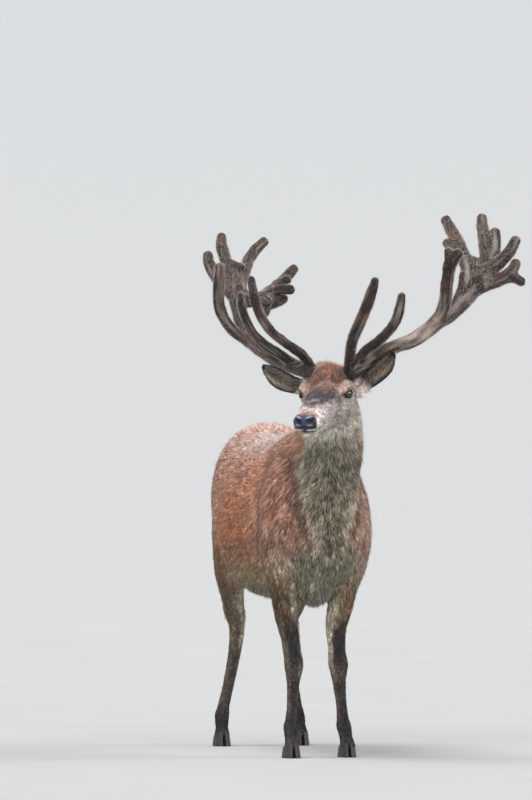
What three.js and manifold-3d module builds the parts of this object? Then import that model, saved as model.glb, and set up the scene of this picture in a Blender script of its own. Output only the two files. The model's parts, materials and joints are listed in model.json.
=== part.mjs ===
// Red deer stag in velvet, standing, head raised and turned to its right. Millimetres, +Z up, the stag faces -Y and its left side is +X.
// The flesh is one implicit body (soft unions of tapered limbs and muscles) that is meshed piece by piece and parted by thin cuts.
import * as THREE from "three";
import { mergeVertices } from "three/addons/utils/BufferGeometryUtils.js";
import Module from "manifold-3d";

const wasm = await Module();
wasm.setup();

const GAP = 0.4; // thickness of every parting cut
const CENTRE = [158.4, -129.8]; // plan position of the part's origin in the modelling frame

// ---------- soft shapes ----------
const smin = (a, b, k) => { const h = Math.max(k - Math.abs(a - b), 0) / k; return Math.min(a, b) - h * h * k * 0.25; };
const smax = (a, b, k) => -smin(-a, -b, k);

// Ellipsoid: centre, radii, tilt about X in degrees (positive lowers the front), turn about Z in degrees.
function ellipsoid(x, y, z, [cx, cy, cz, rx, ry, rz, tilt = 0, turn = 0]) {
  let dx = x - cx, dy = y - cy, dz = z - cz;
  if (turn) { const a = turn * Math.PI / 180, c = Math.cos(a), s = Math.sin(a); [dx, dy] = [c * dx + s * dy, -s * dx + c * dy]; }
  if (tilt) { const a = tilt * Math.PI / 180, c = Math.cos(a), s = Math.sin(a); [dy, dz] = [c * dy + s * dz, -s * dy + c * dz]; }
  const ux = dx / rx, uy = dy / ry, uz = dz / rz, k0 = Math.hypot(ux, uy, uz), k1 = Math.hypot(ux / rx, uy / ry, uz / rz);
  return k1 < 1e-9 ? -Math.min(rx, ry, rz) : k0 * (k0 - 1) / k1;
}
// Tapered limb piece from a to b, each [x, y, z, sideways radius, fore-and-aft radius].
function limbPiece(x, y, z, a, b) {
  const wx = b[0] - a[0], wy = b[1] - a[1], wz = b[2] - a[2], len = Math.hypot(wx, wy, wz);
  const nx = wx / len, ny = wy / len, nz = wz / len;
  let px = x - a[0], py = y - a[1], pz = z - a[2];
  const along = px * nx + py * ny + pz * nz, t = Math.min(1, Math.max(0, along / len));
  px -= t * wx; py -= t * wy; pz -= t * wz;
  let sx = 1 - nx * nx, sy = -nx * ny, sz = -nx * nz; const sl = Math.hypot(sx, sy, sz); sx /= sl; sy /= sl; sz /= sl;
  const fx = ny * sz - nz * sy, fy = nz * sx - nx * sz, fz = nx * sy - ny * sx;
  const rs = a[3] + t * (b[3] - a[3]), rf = a[4] + t * (b[4] - a[4]), rw = Math.min(rs, rf);
  const ds = (px * sx + py * sy + pz * sz) / rs, df = (px * fx + py * fy + pz * fz) / rf, dw = (px * nx + py * ny + pz * nz) / rw;
  const k0 = Math.hypot(ds, df, dw), k1 = Math.hypot(ds / rs, df / rf, dw / rw);
  return k1 < 1e-9 ? -rw : k0 * (k0 - 1) / k1;
}
function limb(x, y, z, stations, k) {
  let d = 1e9;
  for (let i = 0; i + 1 < stations.length; i++) d = smin(d, limbPiece(x, y, z, stations[i], stations[i + 1]), k);
  return d;
}
const unit = (v) => { const l = Math.hypot(...v); return v.map((c) => c / l); };
// Smooth interpolation of table rows keyed by their first column.
function rowAt(rows, key) {
  const n = rows.length;
  if (key <= rows[0][0]) return rows[0].slice(1);
  if (key >= rows[n - 1][0]) return rows[n - 1].slice(1);
  let i = 0; while (key > rows[i + 1][0]) i++;
  const p0 = rows[Math.max(i - 1, 0)], p1 = rows[i], p2 = rows[i + 1], p3 = rows[Math.min(i + 2, n - 1)], h = p2[0] - p1[0], t = (key - p1[0]) / h;
  return p1.slice(1).map((_, j) => {
    const v1 = p1[j + 1], v2 = p2[j + 1], m1 = (v2 - p0[j + 1]) / (p2[0] - p0[0]) * h, m2 = (p3[j + 1] - v1) / (p3[0] - p1[0]) * h;
    const t2 = t * t, t3 = t2 * t;
    return (2 * t3 - 3 * t2 + 1) * v1 + (t3 - 2 * t2 + t) * m1 + (-2 * t3 + 3 * t2) * v2 + (t3 - t2) * m2;
  });
}

// ---------- body sizes ----------
// Trunk sections: Y, top Z, bottom Z, Z of the widest level, half width, sideways shift, upper roundness.
const TRUNK = [
  [-640, 900, 800, 850, 20, 10, 2.0],
  [-600, 990, 715, 840, 92, 10, 2.0],
  [-540, 1060, 640, 830, 136, 8, 2.0],
  [-450, 1140, 584, 815, 164, 4, 1.9],
  [-370, 1190, 572, 812, 178, 0, 1.7],
  [-250, 1190, 568, 812, 202, -4, 1.7],
  [-100, 1166, 555, 812, 228, -10, 1.8],
  [60, 1154, 548, 812, 246, -14, 1.9],
  [200, 1158, 562, 830, 236, -12, 1.95],
  [330, 1182, 626, 870, 208, -6, 2.1],
  [450, 1197, 690, 925, 198, 0, 2.25],
  [560, 1166, 770, 935, 178, 0, 2.25],
  [650, 1092, 840, 950, 122, 0, 2.0],
  [705, 1000, 900, 950, 40, 0, 2.0],
];
function trunk(x, y, z) {
  const [top, bottom, mid, hw, shift, n] = rowAt(TRUNK, y);
  const up = z > mid, h = up ? top - mid : mid - bottom, e = up ? n : 2.2;
  const u = Math.abs(x - shift) / hw, v = Math.abs(z - mid) / h, q = Math.pow(Math.pow(u, e) + Math.pow(v, e), 1 / e);
  const r = Math.hypot(x - shift, z - mid) / Math.max(q, 1e-6);
  let d = (q - 1) * Math.min(r, hw * 1.1 + 20) * 0.92;
  if (y < TRUNK[0][0]) d = Math.hypot(Math.max(d, 0), TRUNK[0][0] - y) + Math.min(d, 0) * 0;
  if (y > TRUNK[13][0]) d = Math.hypot(Math.max(d, 0), y - TRUNK[13][0]);
  return d;
}
// Paired muscles: mirrored ellipsoids with their blend widths.
const MUSCLES = [
  [106, -372, 828, 96, 138, 232, -12, 0, 40], // shoulder
  [108, -450, 790, 66, 84, 108, 10, 0, 50], // point of the shoulder
  [120, -345, 705, 58, 80, 92, 20, 0, 40], // elbow and triceps
  [96, 470, 900, 104, 165, 205, 0, 0, 40], // croup and haunch
  [122, 388, 745, 64, 112, 150, -18, 0, 40], // thigh
  [108, 548, 780, 70, 98, 172, 12, 0, 40], // back of the thigh
];
// Single masses on the middle line: brisket and its hanging hair, breast.
const MIDDLE = [
  [-18, -425, 626, 62, 120, 82, 8, 0, 40],
  [12, -540, 760, 92, 92, 130, 0, 0, 50],
];
// Limbs: x, y, z, sideways radius, fore-and-aft radius.
const FORELEG_RIGHT = [[-122, -385, 760, 58, 95], [-130, -395, 662, 52, 84], [-127, -425, 572, 45, 62], [-112, -438, 462, 38, 42], [-99, -446, 385, 31, 34], [-95, -450, 332, 35, 37],
  [-97, -448, 272, 25, 29], [-101, -448, 200, 19.5, 24], [-105, -450, 140, 21, 26], [-107, -450, 110, 26, 30], [-109, -470, 70, 23, 25], [-110, -486, 44, 25, 27]];
const FORELEG_LEFT = [[108, -375, 760, 58, 95], [110, -380, 665, 50, 84], [92, -405, 572, 47, 62], [68, -418, 465, 38, 42], [68, -424, 385, 32, 34], [72, -428, 334, 36, 37],
  [76, -424, 272, 26, 29], [84, -420, 200, 20.5, 24], [91, -418, 140, 22, 26], [95, -417, 112, 27, 30], [99, -436, 71, 24, 25], [102, -452, 44, 26, 27]];
const HINDLEG_RIGHT = [[-124, 392, 770, 72, 128], [-136, 462, 645, 53, 90], [-108, 546, 525, 36, 51], [-78, 632, 448, 30, 40], [-80, 634, 382, 26, 33], [-104, 617, 265, 22, 26],
  [-134, 596, 150, 22, 26], [-142, 590, 114, 27, 31], [-146, 572, 72, 24, 26], [-148, 558, 44, 26, 28]];
const HINDLEG_LEFT = [[124, 392, 770, 72, 128], [138, 468, 645, 53, 90], [128, 556, 525, 36, 51], [120, 644, 448, 30, 40], [121, 646, 382, 26, 33], [130, 629, 265, 22, 26],
  [142, 608, 150, 22, 26], [146, 602, 114, 27, 31], [150, 584, 72, 24, 26], [152, 570, 44, 26, 28]];
const NECK = [[8, -400, 965, 108, 190], [28, -470, 1040, 112, 158], [33, -528, 1122, 108, 134], [20, -586, 1215, 102, 114], [-6, -622, 1300, 90, 96], [-22, -636, 1345, 74, 74]];
const TAIL = [[0, 655, 1092, 30, 24], [0, 702, 1025, 33, 20], [0, 720, 955, 27, 16], [0, 726, 912, 13, 9]];

// ---------- head: its own frame, x to its left, y to its back, z up, origin midway between the eyes ----------
const HEAD_AT = [-43.5, -752, 1294], HEAD_TURN = -29.7, HEAD_TILT = 16, HEAD_ROLL = 0;
const headMatrix = new THREE.Matrix4().makeTranslation(...HEAD_AT)
  .multiply(new THREE.Matrix4().makeRotationZ(THREE.MathUtils.degToRad(HEAD_TURN)))
  .multiply(new THREE.Matrix4().makeRotationX(THREE.MathUtils.degToRad(HEAD_TILT)))
  .multiply(new THREE.Matrix4().makeRotationY(THREE.MathUtils.degToRad(-HEAD_ROLL)));
const headInverse = headMatrix.clone().invert();
const HEAD_MIDDLE = [ // centre, radii, tilt, turn, blend
  [0, 80, 9, 72, 82, 60, 0, 0, 20], // braincase
  [0, 28, 30, 78, 78, 42, 14, 0, 26], // forehead
  [0, 66, 50, 50, 46, 26, 0, 0, 22], // tuft between the antlers
  [0, 10, -66, 58, 90, 52, 0, 0, 36], // jowl
  [0, 90, -66, 76, 84, 72, 0, 0, 40], // throat latch
  [0, -270, -21, 38, 17, 25, 0, 0, 10], // nose pad
  [0, -240, -46, 51, 34, 21, 0, 0, 14], // upper lip
  [0, -224, -78, 33, 32, 15, 0, 0, 8], // chin
];
const HEAD_PAIRS = [
  [69, 8, 16, 32, 44, 36, 0, 0, 22], // eye socket rim
  [58, 26, -44, 36, 66, 56, 0, 0, 26], // cheek
  [70, 50, -12, 24, 54, 26, 0, 0, 22], // cheekbone arch
  [26, -260, -20, 15, 22, 19, 0, 0, 10], // nostril wing
  [80, 104, 16, 32, 34, 34, 0, 0, 22], // root of the ear
];
const MUZZLE = [[0, 10, -4, 74, 56], [0, -80, -16, 62, 50], [0, -160, -23, 55, 42], [0, -236, -29, 49, 33]];
const JAW = [[0, -210, -72, 32, 18], [0, -120, -68, 45, 30], [0, -20, -72, 55, 44]];
const PEDICLE_RIGHT = [[-42, 72, 34, 28, 28], [-57, 86, 50, 27, 27]], PEDICLE_LEFT = [[42, 72, 34, 28, 28], [57, 86, 50, 27, 27]];
const EYE = [86, -7, 6], EYE_R = 18;
// The limb helper's sideways axis is x; a head tube runs along y, so its second radius is the height.
function headField(x, y, z) {
  let d = 1e9;
  for (const m of HEAD_MIDDLE) d = smin(d, ellipsoid(x, y, z, m), m[8]);
  const ax = Math.abs(x);
  for (const m of HEAD_PAIRS) d = smin(d, ellipsoid(ax, y, z, m), m[8]);
  d = smin(d, limb(x, y, z, MUZZLE, 20), 22);
  d = smin(d, limb(x, y, z, JAW, 16), 16);
  d = smin(d, limb(x, y, z, PEDICLE_RIGHT, 5), 22);
  d = smin(d, limb(x, y, z, PEDICLE_LEFT, 5), 22);
  return d;
}
const hv = new THREE.Vector3();
function flesh(x, y, z, legs = true, head = true) {
  let d = trunk(x, y, z);
  const ax = Math.abs(x);
  if (z > 400 && z < 1350) {
    for (const m of MUSCLES) d = smin(d, ellipsoid(ax, y, z, m), m[8]);
    for (const m of MIDDLE) d = smin(d, ellipsoid(x, y, z, m), m[8]);
  }
  if (y < 0) {
    if (legs && z < 900) { d = smin(d, limb(x, y, z, FORELEG_RIGHT, 10), 30); d = smin(d, limb(x, y, z, FORELEG_LEFT, 10), 30); }
    if (z > 600) d = smin(d, limb(x, y, z, NECK, 24), 50);
    if (head && y < -450 && z > 1000) { hv.set(x, y, z).applyMatrix4(headInverse); d = smin(d, headField(hv.x, hv.y, hv.z), 30); }
  } else if (legs && z < 900) { d = smin(d, limb(x, y, z, HINDLEG_RIGHT, 10), 30); d = smin(d, limb(x, y, z, HINDLEG_LEFT, 10), 30); }
  return d;
}

// ---------- meshing: rays from a middle line meet the surface in rings, and the rings join into one closed skin ----------
// A ring is its middle point and the two directions of its plane; reach is the longest ray. Domed ends run out to the surface.
function loftOf(field, rings, rays, { reach = 500, level = 0, domed = false } = {}) {
  const verts = [], tris = [];
  const cast = (c, d, most) => {
    const at = (r) => field(c[0] + r * d[0], c[1] + r * d[1], c[2] + r * d[2]) - level;
    let lo = 0, hi = 5;
    while (hi < most && at(hi) < 0) { lo = hi; hi += 5; }
    for (let q = 0; q < 9; q++) { const mid = (lo + hi) / 2; if (at(mid) < 0) lo = mid; else hi = mid; }
    return [c[0] + hi * d[0], c[1] + hi * d[1], c[2] + hi * d[2]];
  };
  for (const { c, u, v } of rings) for (let k = 0; k < rays; k++) {
    const a = 2 * Math.PI * k / rays;
    verts.push(...cast(c, [0, 1, 2].map((q) => u[q] * Math.cos(a) + v[q] * Math.sin(a)), reach));
  }
  const last = (rings.length - 1) * rays, ends = verts.length / 3, first = rings[0].c, final = rings[rings.length - 1].c;
  if (domed) verts.push(...cast(first, unit([0, 1, 2].map((q) => first[q] - rings[1].c[q])), reach), ...cast(final, unit([0, 1, 2].map((q) => final[q] - rings[rings.length - 2].c[q])), reach));
  else verts.push(...first, ...final);
  const d2 = (m, o) => (verts[3 * m] - verts[3 * o]) ** 2 + (verts[3 * m + 1] - verts[3 * o + 1]) ** 2 + (verts[3 * m + 2] - verts[3 * o + 2]) ** 2;
  for (let k = 0; k < rays; k++) {
    const next = (k + 1) % rays;
    for (let r = 0; r < last; r += rays) {
      const a = r + k, b = r + next, c = b + rays, d = a + rays;
      if (d2(a, c) < d2(b, d)) tris.push(a, b, c, a, c, d); else tris.push(a, b, d, b, c, d);
    }
    tris.push(next, k, ends, last + k, last + next, ends + 1);
  }
  const made = solid(new Float32Array(verts), new Uint32Array(tris));
  if (made.volume() > 0) return made;
  for (let t = 0; t < tris.length; t += 3) [tris[t], tris[t + 1]] = [tris[t + 1], tris[t]];
  return solid(new Float32Array(verts), new Uint32Array(tris));
}
function solid(vertProperties, triVerts) { return new wasm.Manifold(new wasm.Mesh({ numProp: 3, vertProperties, triVerts })); }
function solidOf(geometry, matrix = new THREE.Matrix4()) {
  const g = new THREE.BufferGeometry().setAttribute("position", geometry.getAttribute("position").clone()).applyMatrix4(matrix);
  if (geometry.index) g.setIndex(geometry.index.clone());
  const m = mergeVertices(g, 1e-3);
  return solid(new Float32Array(m.attributes.position.array), new Uint32Array(m.index.array));
}
function geometryOf(s) {
  const m = s.getMesh(), p = new Float32Array(m.numVert * 3);
  for (let i = 0; i < m.numVert; i++) p.set(m.vertProperties.subarray(i * m.numProp, i * m.numProp + 3), 3 * i);
  const g = new THREE.BufferGeometry().setAttribute("position", new THREE.BufferAttribute(p, 3)).setIndex(new THREE.BufferAttribute(new Uint32Array(m.triVerts), 1));
  g.computeVertexNormals();
  return g;
}
// The largest body of a solid, without crumbs.
const largest = (s) => s.decompose().sort((a, b) => b.volume() - a.volume())[0];

// ---------- parting planes: a point and a normal; "+" keeps the side that the normal points to ----------
const PLANE = {
  neckHead: { at: [0, -660, 1290], n: unit([-0.25, -0.93, 0.28]) },
  trunkNeck: { at: [0, -480, 1066], n: unit([0, -0.66, 0.75]) },
  trunkTail: { at: [0, 676, 1060], n: unit([0, 0.9, -0.2]) },
  foreTop: { at: [0, -400, 612], n: unit([0, 0.25, -1]) },
  hindTop: { at: [0, 450, 668], n: unit([0, -0.2, -1]) },
};
const keep = (s, name, side) => {
  const { at, n } = PLANE[name], o = at[0] * n[0] + at[1] * n[1] + at[2] * n[2];
  return side > 0 ? s.trimByPlane(n, o + GAP / 2) : s.trimByPlane(n.map((c) => -c), -(o - GAP / 2));
};
const above = (s, z) => s.trimByPlane([0, 0, 1], z + GAP / 2), below = (s, z) => s.trimByPlane([0, 0, -1], -z + GAP / 2);

// ---------- swept horn: a tube of rings along a smooth curve, flattened sections allowed ----------
const VELVET = 2.0; // the pile of the velvet over the measured middle lines, none at the tips
function horn(points, sides, rows, grow = 0) { // points: x, y, z, wide radius, thin radius (optional); wideDir follows the bend
  const curve = new THREE.CatmullRomCurve3(points.map((p) => new THREE.Vector3(p[0], p[1], p[2])), false, "centripetal");
  const frames = curve.computeFrenetFrames(rows, false), verts = [], tris = [];
  const rad = (t, c) => { const s = t * (points.length - 1), i = Math.min(points.length - 2, Math.floor(s)), f = s - i, a = points[i][c] ?? points[i][3], b = points[i + 1][c] ?? points[i + 1][3]; return a + f * (b - a); };
  for (let r = 0; r <= rows; r++) {
    const t = r / rows, u = curve.getUtoTmapping(t), p = curve.getPoint(u), more = VELVET * Math.min(1, (1 - u) * 6) + grow, R = rad(u, 3) + more, Q = rad(u, 4) + more;
    // the last rows close the tip as a dome
    for (let k = 0; k < sides; k++) {
      const a = 2 * Math.PI * k / sides, n = frames.normals[r], b = frames.binormals[r];
      const v = p.clone().addScaledVector(n, R * Math.cos(a)).addScaledVector(b, Q * Math.sin(a));
      verts.push(v.x, v.y, v.z);
    }
  }
  const end = curve.getPoint(1), tan = frames.tangents[rows], R = rad(1, 3) + grow, Q = rad(1, 4) + grow;
  for (let k = 0; k < sides; k++) { // one shrunken ring ahead of the last, then the tip
    const a = 2 * Math.PI * k / sides, v = end.clone().addScaledVector(tan, 0.62 * Math.min(R, Q)).addScaledVector(frames.normals[rows], 0.72 * R * Math.cos(a)).addScaledVector(frames.binormals[rows], 0.72 * Q * Math.sin(a));
    verts.push(v.x, v.y, v.z);
  }
  const tip = end.clone().addScaledVector(tan, 0.98 * Math.min(R, Q)), base = curve.getPoint(0), tipId = verts.length / 3;
  verts.push(tip.x, tip.y, tip.z, base.x, base.y, base.z);
  for (let r = 0; r <= rows; r++) for (let k = 0; k < sides; k++) {
    const a = r * sides + k, b = r * sides + (k + 1) % sides, c = a + sides, d = b + sides;
    tris.push(a, b, d, a, d, c);
  }
  for (let k = 0; k < sides; k++) {
    const l = (rows + 1) * sides;
    tris.push(l + k, l + (k + 1) % sides, tipId, (k + 1) % sides, k, tipId + 1);
  }
  return solid(new Float32Array(verts), new Uint32Array(tris));
}

// ---------- antler tables: each point is x, y, z, wide radius and, where flattened, thin radius ----------
const ANTLER_RIGHT = {
  beam_lower: [[-63, -663, 1366, 27], [-112, -617, 1389, 25], [-150, -566, 1405, 23.5], [-192, -498, 1433, 22], [-230, -434, 1466, 20]],
  beam_upper: [[-230, -434, 1466, 20], [-254, -377, 1506, 20], [-265, -323, 1564, 20], [-268, -268, 1626, 21], [-267, -228, 1680, 24], [-265, -200, 1720, 26]],
  brow: [[-86, -662, 1404, 17], [-119, -680, 1440, 16], [-176, -692, 1477, 15.5], [-229, -694, 1519, 15], [-263, -696, 1567, 14.5], [-286, -699, 1619, 14], [-299, -701, 1669, 13], [-302, -701, 1701, 11]],
  bez: [[-135, -605, 1412, 16], [-189, -618, 1444, 15.5], [-238, -611, 1477, 15], [-275, -606, 1514, 14], [-301, -601, 1561, 13.5], [-316, -598, 1610, 12.5], [-318, -597, 1646, 11]],
  trez: [[-254, -395, 1488, 17], [-291, -378, 1515, 16], [-325, -366, 1556, 15.5], [-347, -361, 1610, 15], [-352, -367, 1678, 14], [-348, -378, 1749, 12]],
  crown_front: [[-265, -200, 1709, 22, 16], [-271, -167, 1750, 18, 16], [-281, -125, 1797, 15.5], [-285, -93, 1837, 15], [-282, -78, 1863, 13]],
  crown_middle: [[-242, -214, 1684, 22, 16], [-220, -175, 1732, 18, 15], [-198, -135, 1776, 15], [-162, -105, 1820, 14], [-130, -95, 1849, 12]],
  crown_outer: [[-278, -227, 1662, 18], [-306, -192, 1695, 16], [-329, -154, 1739, 15], [-341, -135, 1775, 14], [-341, -123, 1797, 12]],
  crown_inner: [[-251, -256, 1637, 20], [-200, -240, 1637, 19], [-151, -218, 1650, 18], [-93, -189, 1692, 16], [-55, -176, 1729, 14], [-36, -171, 1749, 12]],
  crown_inner_side: [[-123, -206, 1670, 14], [-94, -229, 1675, 13], [-69, -257, 1675, 11.5]],
};
const ANTLER_LEFT = {
  beam_lower: [[43, -723, 1366, 27], [82, -739, 1393, 27], [114, -743, 1413, 25], [161, -743, 1446, 23.5], [203, -749, 1464, 22], [265, -752, 1486, 23.5], [311, -755, 1515, 24.5]],
  beam_upper: [[311, -755, 1515, 24.5], [358, -755, 1549, 25], [404, -748, 1579, 26], [447, -733, 1616, 29], [489, -712, 1658, 33, 25], [529, -696, 1699, 34, 26]],
  brow: [[43, -743, 1400, 18], [37, -784, 1446, 18], [36, -825, 1488, 18], [46, -867, 1535, 18], [64, -901, 1590, 17.5], [76, -933, 1642, 16.5], [88, -950, 1691, 13]],
  bez: [[71, -740, 1415, 17], [91, -794, 1451, 17], [120, -836, 1479, 16.5], [151, -874, 1514, 16], [174, -900, 1555, 15.5], [186, -917, 1600, 14.5], [190, -925, 1639, 12]],
  trez: [[348, -754, 1543, 18], [369, -773, 1581, 17], [380, -792, 1631, 16.5], [381, -811, 1684, 16], [384, -824, 1733, 17, 15], [387, -833, 1772, 16, 14], [383, -836, 1798, 12]],
  trez_fork: [[389, -832, 1754, 13], [402, -848, 1780, 12], [411, -860, 1792, 11]],
  crown_inner: [[456, -727, 1636, 20], [482, -696, 1686, 20], [491, -666, 1733, 19], [490, -623, 1783, 18], [482, -571, 1834, 17], [466, -507, 1891, 15], [456, -483, 1920, 13]],
  crown_inner_side: [[477, -603, 1798, 14], [458, -567, 1815, 13], [446, -548, 1836, 11.5]],
  crown_middle: [[526, -694, 1693, 24], [551, -668, 1736, 21], [566, -635, 1783, 18], [573, -592, 1838, 17], [575, -546, 1893, 15.5], [578, -524, 1927, 12.5]],
  crown_back: [[573, -652, 1755, 15], [599, -620, 1798, 15], [609, -597, 1842, 14], [610, -586, 1874, 12.5]],
  crown_outer: [[540, -697, 1707, 24], [573, -682, 1740, 20], [612, -671, 1772, 17], [646, -662, 1806, 16], [670, -653, 1844, 13.5]],
  crown_low: [[536, -700, 1690, 24], [576, -701, 1697, 19], [614, -708, 1713, 17], [642, -713, 1736, 16], [656, -710, 1761, 13]],
  crown_low_fork: [[628, -714, 1718, 14], [651, -724, 1709, 13], [669, -730, 1698, 11.5]],
};
const ANTLER_SIDES = 7, ANTLER_ROW = 57; // sides of a tine, length between its rings

// ---------- ears: base, tip, the way the cup opens, half width ----------
const EAR_RIGHT = { base: [-88, -660, 1318], tip: [-236, -540, 1403], open: [-0.50, -0.80, 0.12], half: 38, sag: -17 };
const EAR_LEFT = { base: [72, -740, 1316], tip: [190, -824, 1447], open: [0.10, -0.97, -0.16], half: 40, sag: 15 };
// along the ear: part of the length, part of the half width, depth of the back, depth of the cup, bow of the axis to the back
const EAR_ROWS = [[0, 0.62, 24, 3, 0], [0.16, 0.72, 25, 8, 3], [0.32, 0.9, 24, 16, 6], [0.5, 1, 21, 16, 8], [0.68, 0.93, 17, 12, 8], [0.84, 0.66, 11, 7, 6], [0.95, 0.32, 7, 3.5, 2], [0.99, 0.12, 4, 1.2, 0]];
function earSolid({ base, tip, open, half, sag }, grow = 0) {
  const b = new THREE.Vector3(...base), axis = new THREE.Vector3(...tip).sub(b), len = axis.length(); axis.normalize();
  const face = new THREE.Vector3(...open).addScaledVector(axis, -axis.dot(new THREE.Vector3(...open))).normalize(), side = new THREE.Vector3().crossVectors(axis, face);
  const arc = [-1, -0.66, -0.24, 0.24, 0.66, 1], rim = 2 + grow, verts = [], tris = [], n = arc.length * 2;
  EAR_ROWS.forEach(([s, w, back, cup, bow], i) => {
    const c = b.clone().addScaledVector(axis, s * len + (i === EAR_ROWS.length - 1 ? grow : 0)).addScaledVector(face, -bow).addScaledVector(side, sag * Math.sin(Math.PI * s));
    for (const [depth, off, order] of [[back + grow, -rim, 1], [cup - grow, rim, -1]]) for (const a of order > 0 ? arc : [...arc].reverse()) {
      const ww = w * half + grow, v = c.clone().addScaledVector(side, a * ww).addScaledVector(face, -depth * Math.cos(a * Math.PI / 2) + off * (0.4 + 0.6 * Math.abs(a)));
      verts.push(v.x, v.y, v.z);
    }
  });
  for (let r = 0; r + 1 < EAR_ROWS.length; r++) for (let k = 0; k < n; k++) { const a = r * n + k, q = r * n + (k + 1) % n; tris.push(a, q, q + n, a, q + n, a + n); }
  const l = (EAR_ROWS.length - 1) * n;
  for (let k = 1; k + 1 < n; k++) { tris.push(0, k + 1, k); tris.push(l, l + k, l + k + 1); }
  const s = solid(new Float32Array(verts), new Uint32Array(tris));
  return s.volume() > 0 ? s : solid(new Float32Array(verts), new Uint32Array(tris).reverse());
}

// ---------- hooves ----------
const CLAW = { length: 84, width: 32, heel: 30, toe: 50, apart: 2.4 };
// outline of one claw seen from above: part of the length from the heel, inner and outer half breadths
const CLAW_OUTLINE = [[0, 0.0, 0.5], [0.14, 0.0, 0.92], [0.46, 0.0, 1.0], [0.82, 0.03, 0.66], [1, 0.14, 0.24]];
function clawSolid(foot, sign) { // foot: centre of the coronet [x, y], turn in degrees; sign +1 is the claw on the +X side
  const rows = [[0, 1.0, 0], [10, 1.0, 0.5], [CLAW.heel, 0.9, 3]], verts = [], tris = [], pts = [];
  for (const [s, inner, outer] of CLAW_OUTLINE) pts.push([s, outer]);
  for (const [s, inner] of [...CLAW_OUTLINE].reverse()) pts.push([s, inner]);
  const n = pts.length;
  rows.forEach(([z, scale, inset], r) => {
    for (const [s, w] of pts) {
      const top = r === rows.length - 1, lift = top ? (CLAW.toe - CLAW.heel) * Math.min(1, s * 1.25) : 0, back = top ? 0.66 : 1;
      const y = foot.y + CLAW.length * 0.42 - CLAW.length * s * (top ? 0.80 : 1) - (top ? -1 : 0), x = CLAW.apart / 2 + CLAW.width * w * scale * (top ? 0.9 : 1);
      verts.push(foot.x + sign * x, y, z + lift * (r === 2 ? 1 : 0) + (r === 1 ? 4 * s : 0));
    }
  });
  for (let r = 0; r + 1 < rows.length; r++) for (let k = 0; k < n; k++) { const a = r * n + k, b = r * n + (k + 1) % n; tris.push(a, b, b + n, a, b + n, a + n); }
  for (let k = 1; k + 1 < n; k++) { tris.push(0, k + 1, k); const l = (rows.length - 1) * n; tris.push(l, l + k, l + k + 1); }
  const order = (t) => { const o = []; for (let i = 0; i < t.length; i += 3) o.push(t[i], t[i + 2], t[i + 1]); return o; };
  let s = solid(new Float32Array(verts), new Uint32Array(tris));
  if (s.volume() < 0 || s.isEmpty()) s = solid(new Float32Array(verts), new Uint32Array(order(tris)));
  return s;
}

// ---------- assembling ----------
const group = new THREE.Group();
const COLOUR = { coat: 0x8a5a3a, neck: 0x8d8272, face: 0x77685c, leg: 0x6d5846, velvet: 0x6b5c52, claw: 0x2a2623, eye: 0x1c120c, ear: 0x80715f, rump: 0xa2703f };
function add(name, s, color, roughness = 0.9) {
  const moved = largest(s).translate([-CENTRE[0], -CENTRE[1], 0]);
  const mesh = new THREE.Mesh(geometryOf(moved), new THREE.MeshStandardMaterial({ color, roughness }));
  mesh.name = name;
  group.add(mesh);
}
const X = [1, 0, 0], Y = [0, 1, 0], Z = [0, 0, 1];

// trunk: upright rings along the back, the first and last small; the legs are left to their own pieces
const body = (x, y, z) => flesh(x, y, z, false);
const TRUNK_RINGS = [-628, -608, -580, -545, -505, -455, -405, -350, -290, -220, -140, -50, 50, 140, 220, 290, 350, 410, 470, 530, 585, 635, 675, 696], TRUNK_RAYS = 24;
const trunkOf = (level) => loftOf(body, TRUNK_RINGS.map((y) => { const [, , mid, , shift] = rowAt(TRUNK, y); return { c: [shift, y, mid], u: X, v: Z }; }), TRUNK_RAYS, { reach: 700, level, domed: true });
const trunkSolid = keep(trunkOf(0), "trunkNeck", -1), trunkGrown = trunkOf(GAP);
add("trunk", trunkSolid, COLOUR.coat);
// tail: level rings
const TAIL_RINGS = [1115, 1095, 1060, 1015, 970, 930, 905, 896];
const tailMiddle = (z) => { const rows = [...TAIL].reverse().map(([x, y, h]) => [h, x, y]); return rowAt(rows, z); };
add("tail", loftOf((x, y, z) => limb(x, y, z, TAIL, 12), TAIL_RINGS.map((z) => ({ c: [...tailMiddle(z), z], u: X, v: Y })), 7, { reach: 60, domed: true }).subtract(trunkGrown), COLOUR.rump);

// antlers: one beam cut in two, then each tine fitted against what stands before it
function antler(table, name) {
  const parts = {}, rowsOf = (pts) => { let l = 0; for (let i = 1; i < pts.length; i++) l += Math.hypot(...[0, 1, 2].map((c) => pts[i][c] - pts[i - 1][c])); return Math.max(3, Math.round(l / ANTLER_ROW)); };
  const { beam_lower: low, beam_upper: high, ...tines } = table, beam = [...low, ...high.slice(1)];
  const whole = horn(beam, ANTLER_SIDES, rowsOf(beam)), wide = horn(beam, ANTLER_SIDES, rowsOf(beam), GAP);
  const at = high[0], d = unit([0, 1, 2].map((c) => high[1][c] - low[low.length - 2][c])), o = at[0] * d[0] + at[1] * d[1] + at[2] * d[2];
  parts.beam_upper = whole.trimByPlane(d, o + GAP / 2); parts.beam_lower = whole.trimByPlane(d.map((c) => -c), -(o - GAP / 2));
  let before = wide;
  for (const [tine, pts] of Object.entries(tines)) {
    parts[tine] = largest(horn(pts, ANTLER_SIDES, rowsOf(pts)).subtract(before));
    before = before.add(horn(pts, ANTLER_SIDES, rowsOf(pts), GAP));
  }
  for (const [part, s] of Object.entries(parts)) add(`antler_${name}_${part}`, s, COLOUR.velvet);
  return before;
}
const antlersGrown = antler(ANTLER_RIGHT, "right").add(antler(ANTLER_LEFT, "left"));

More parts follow.
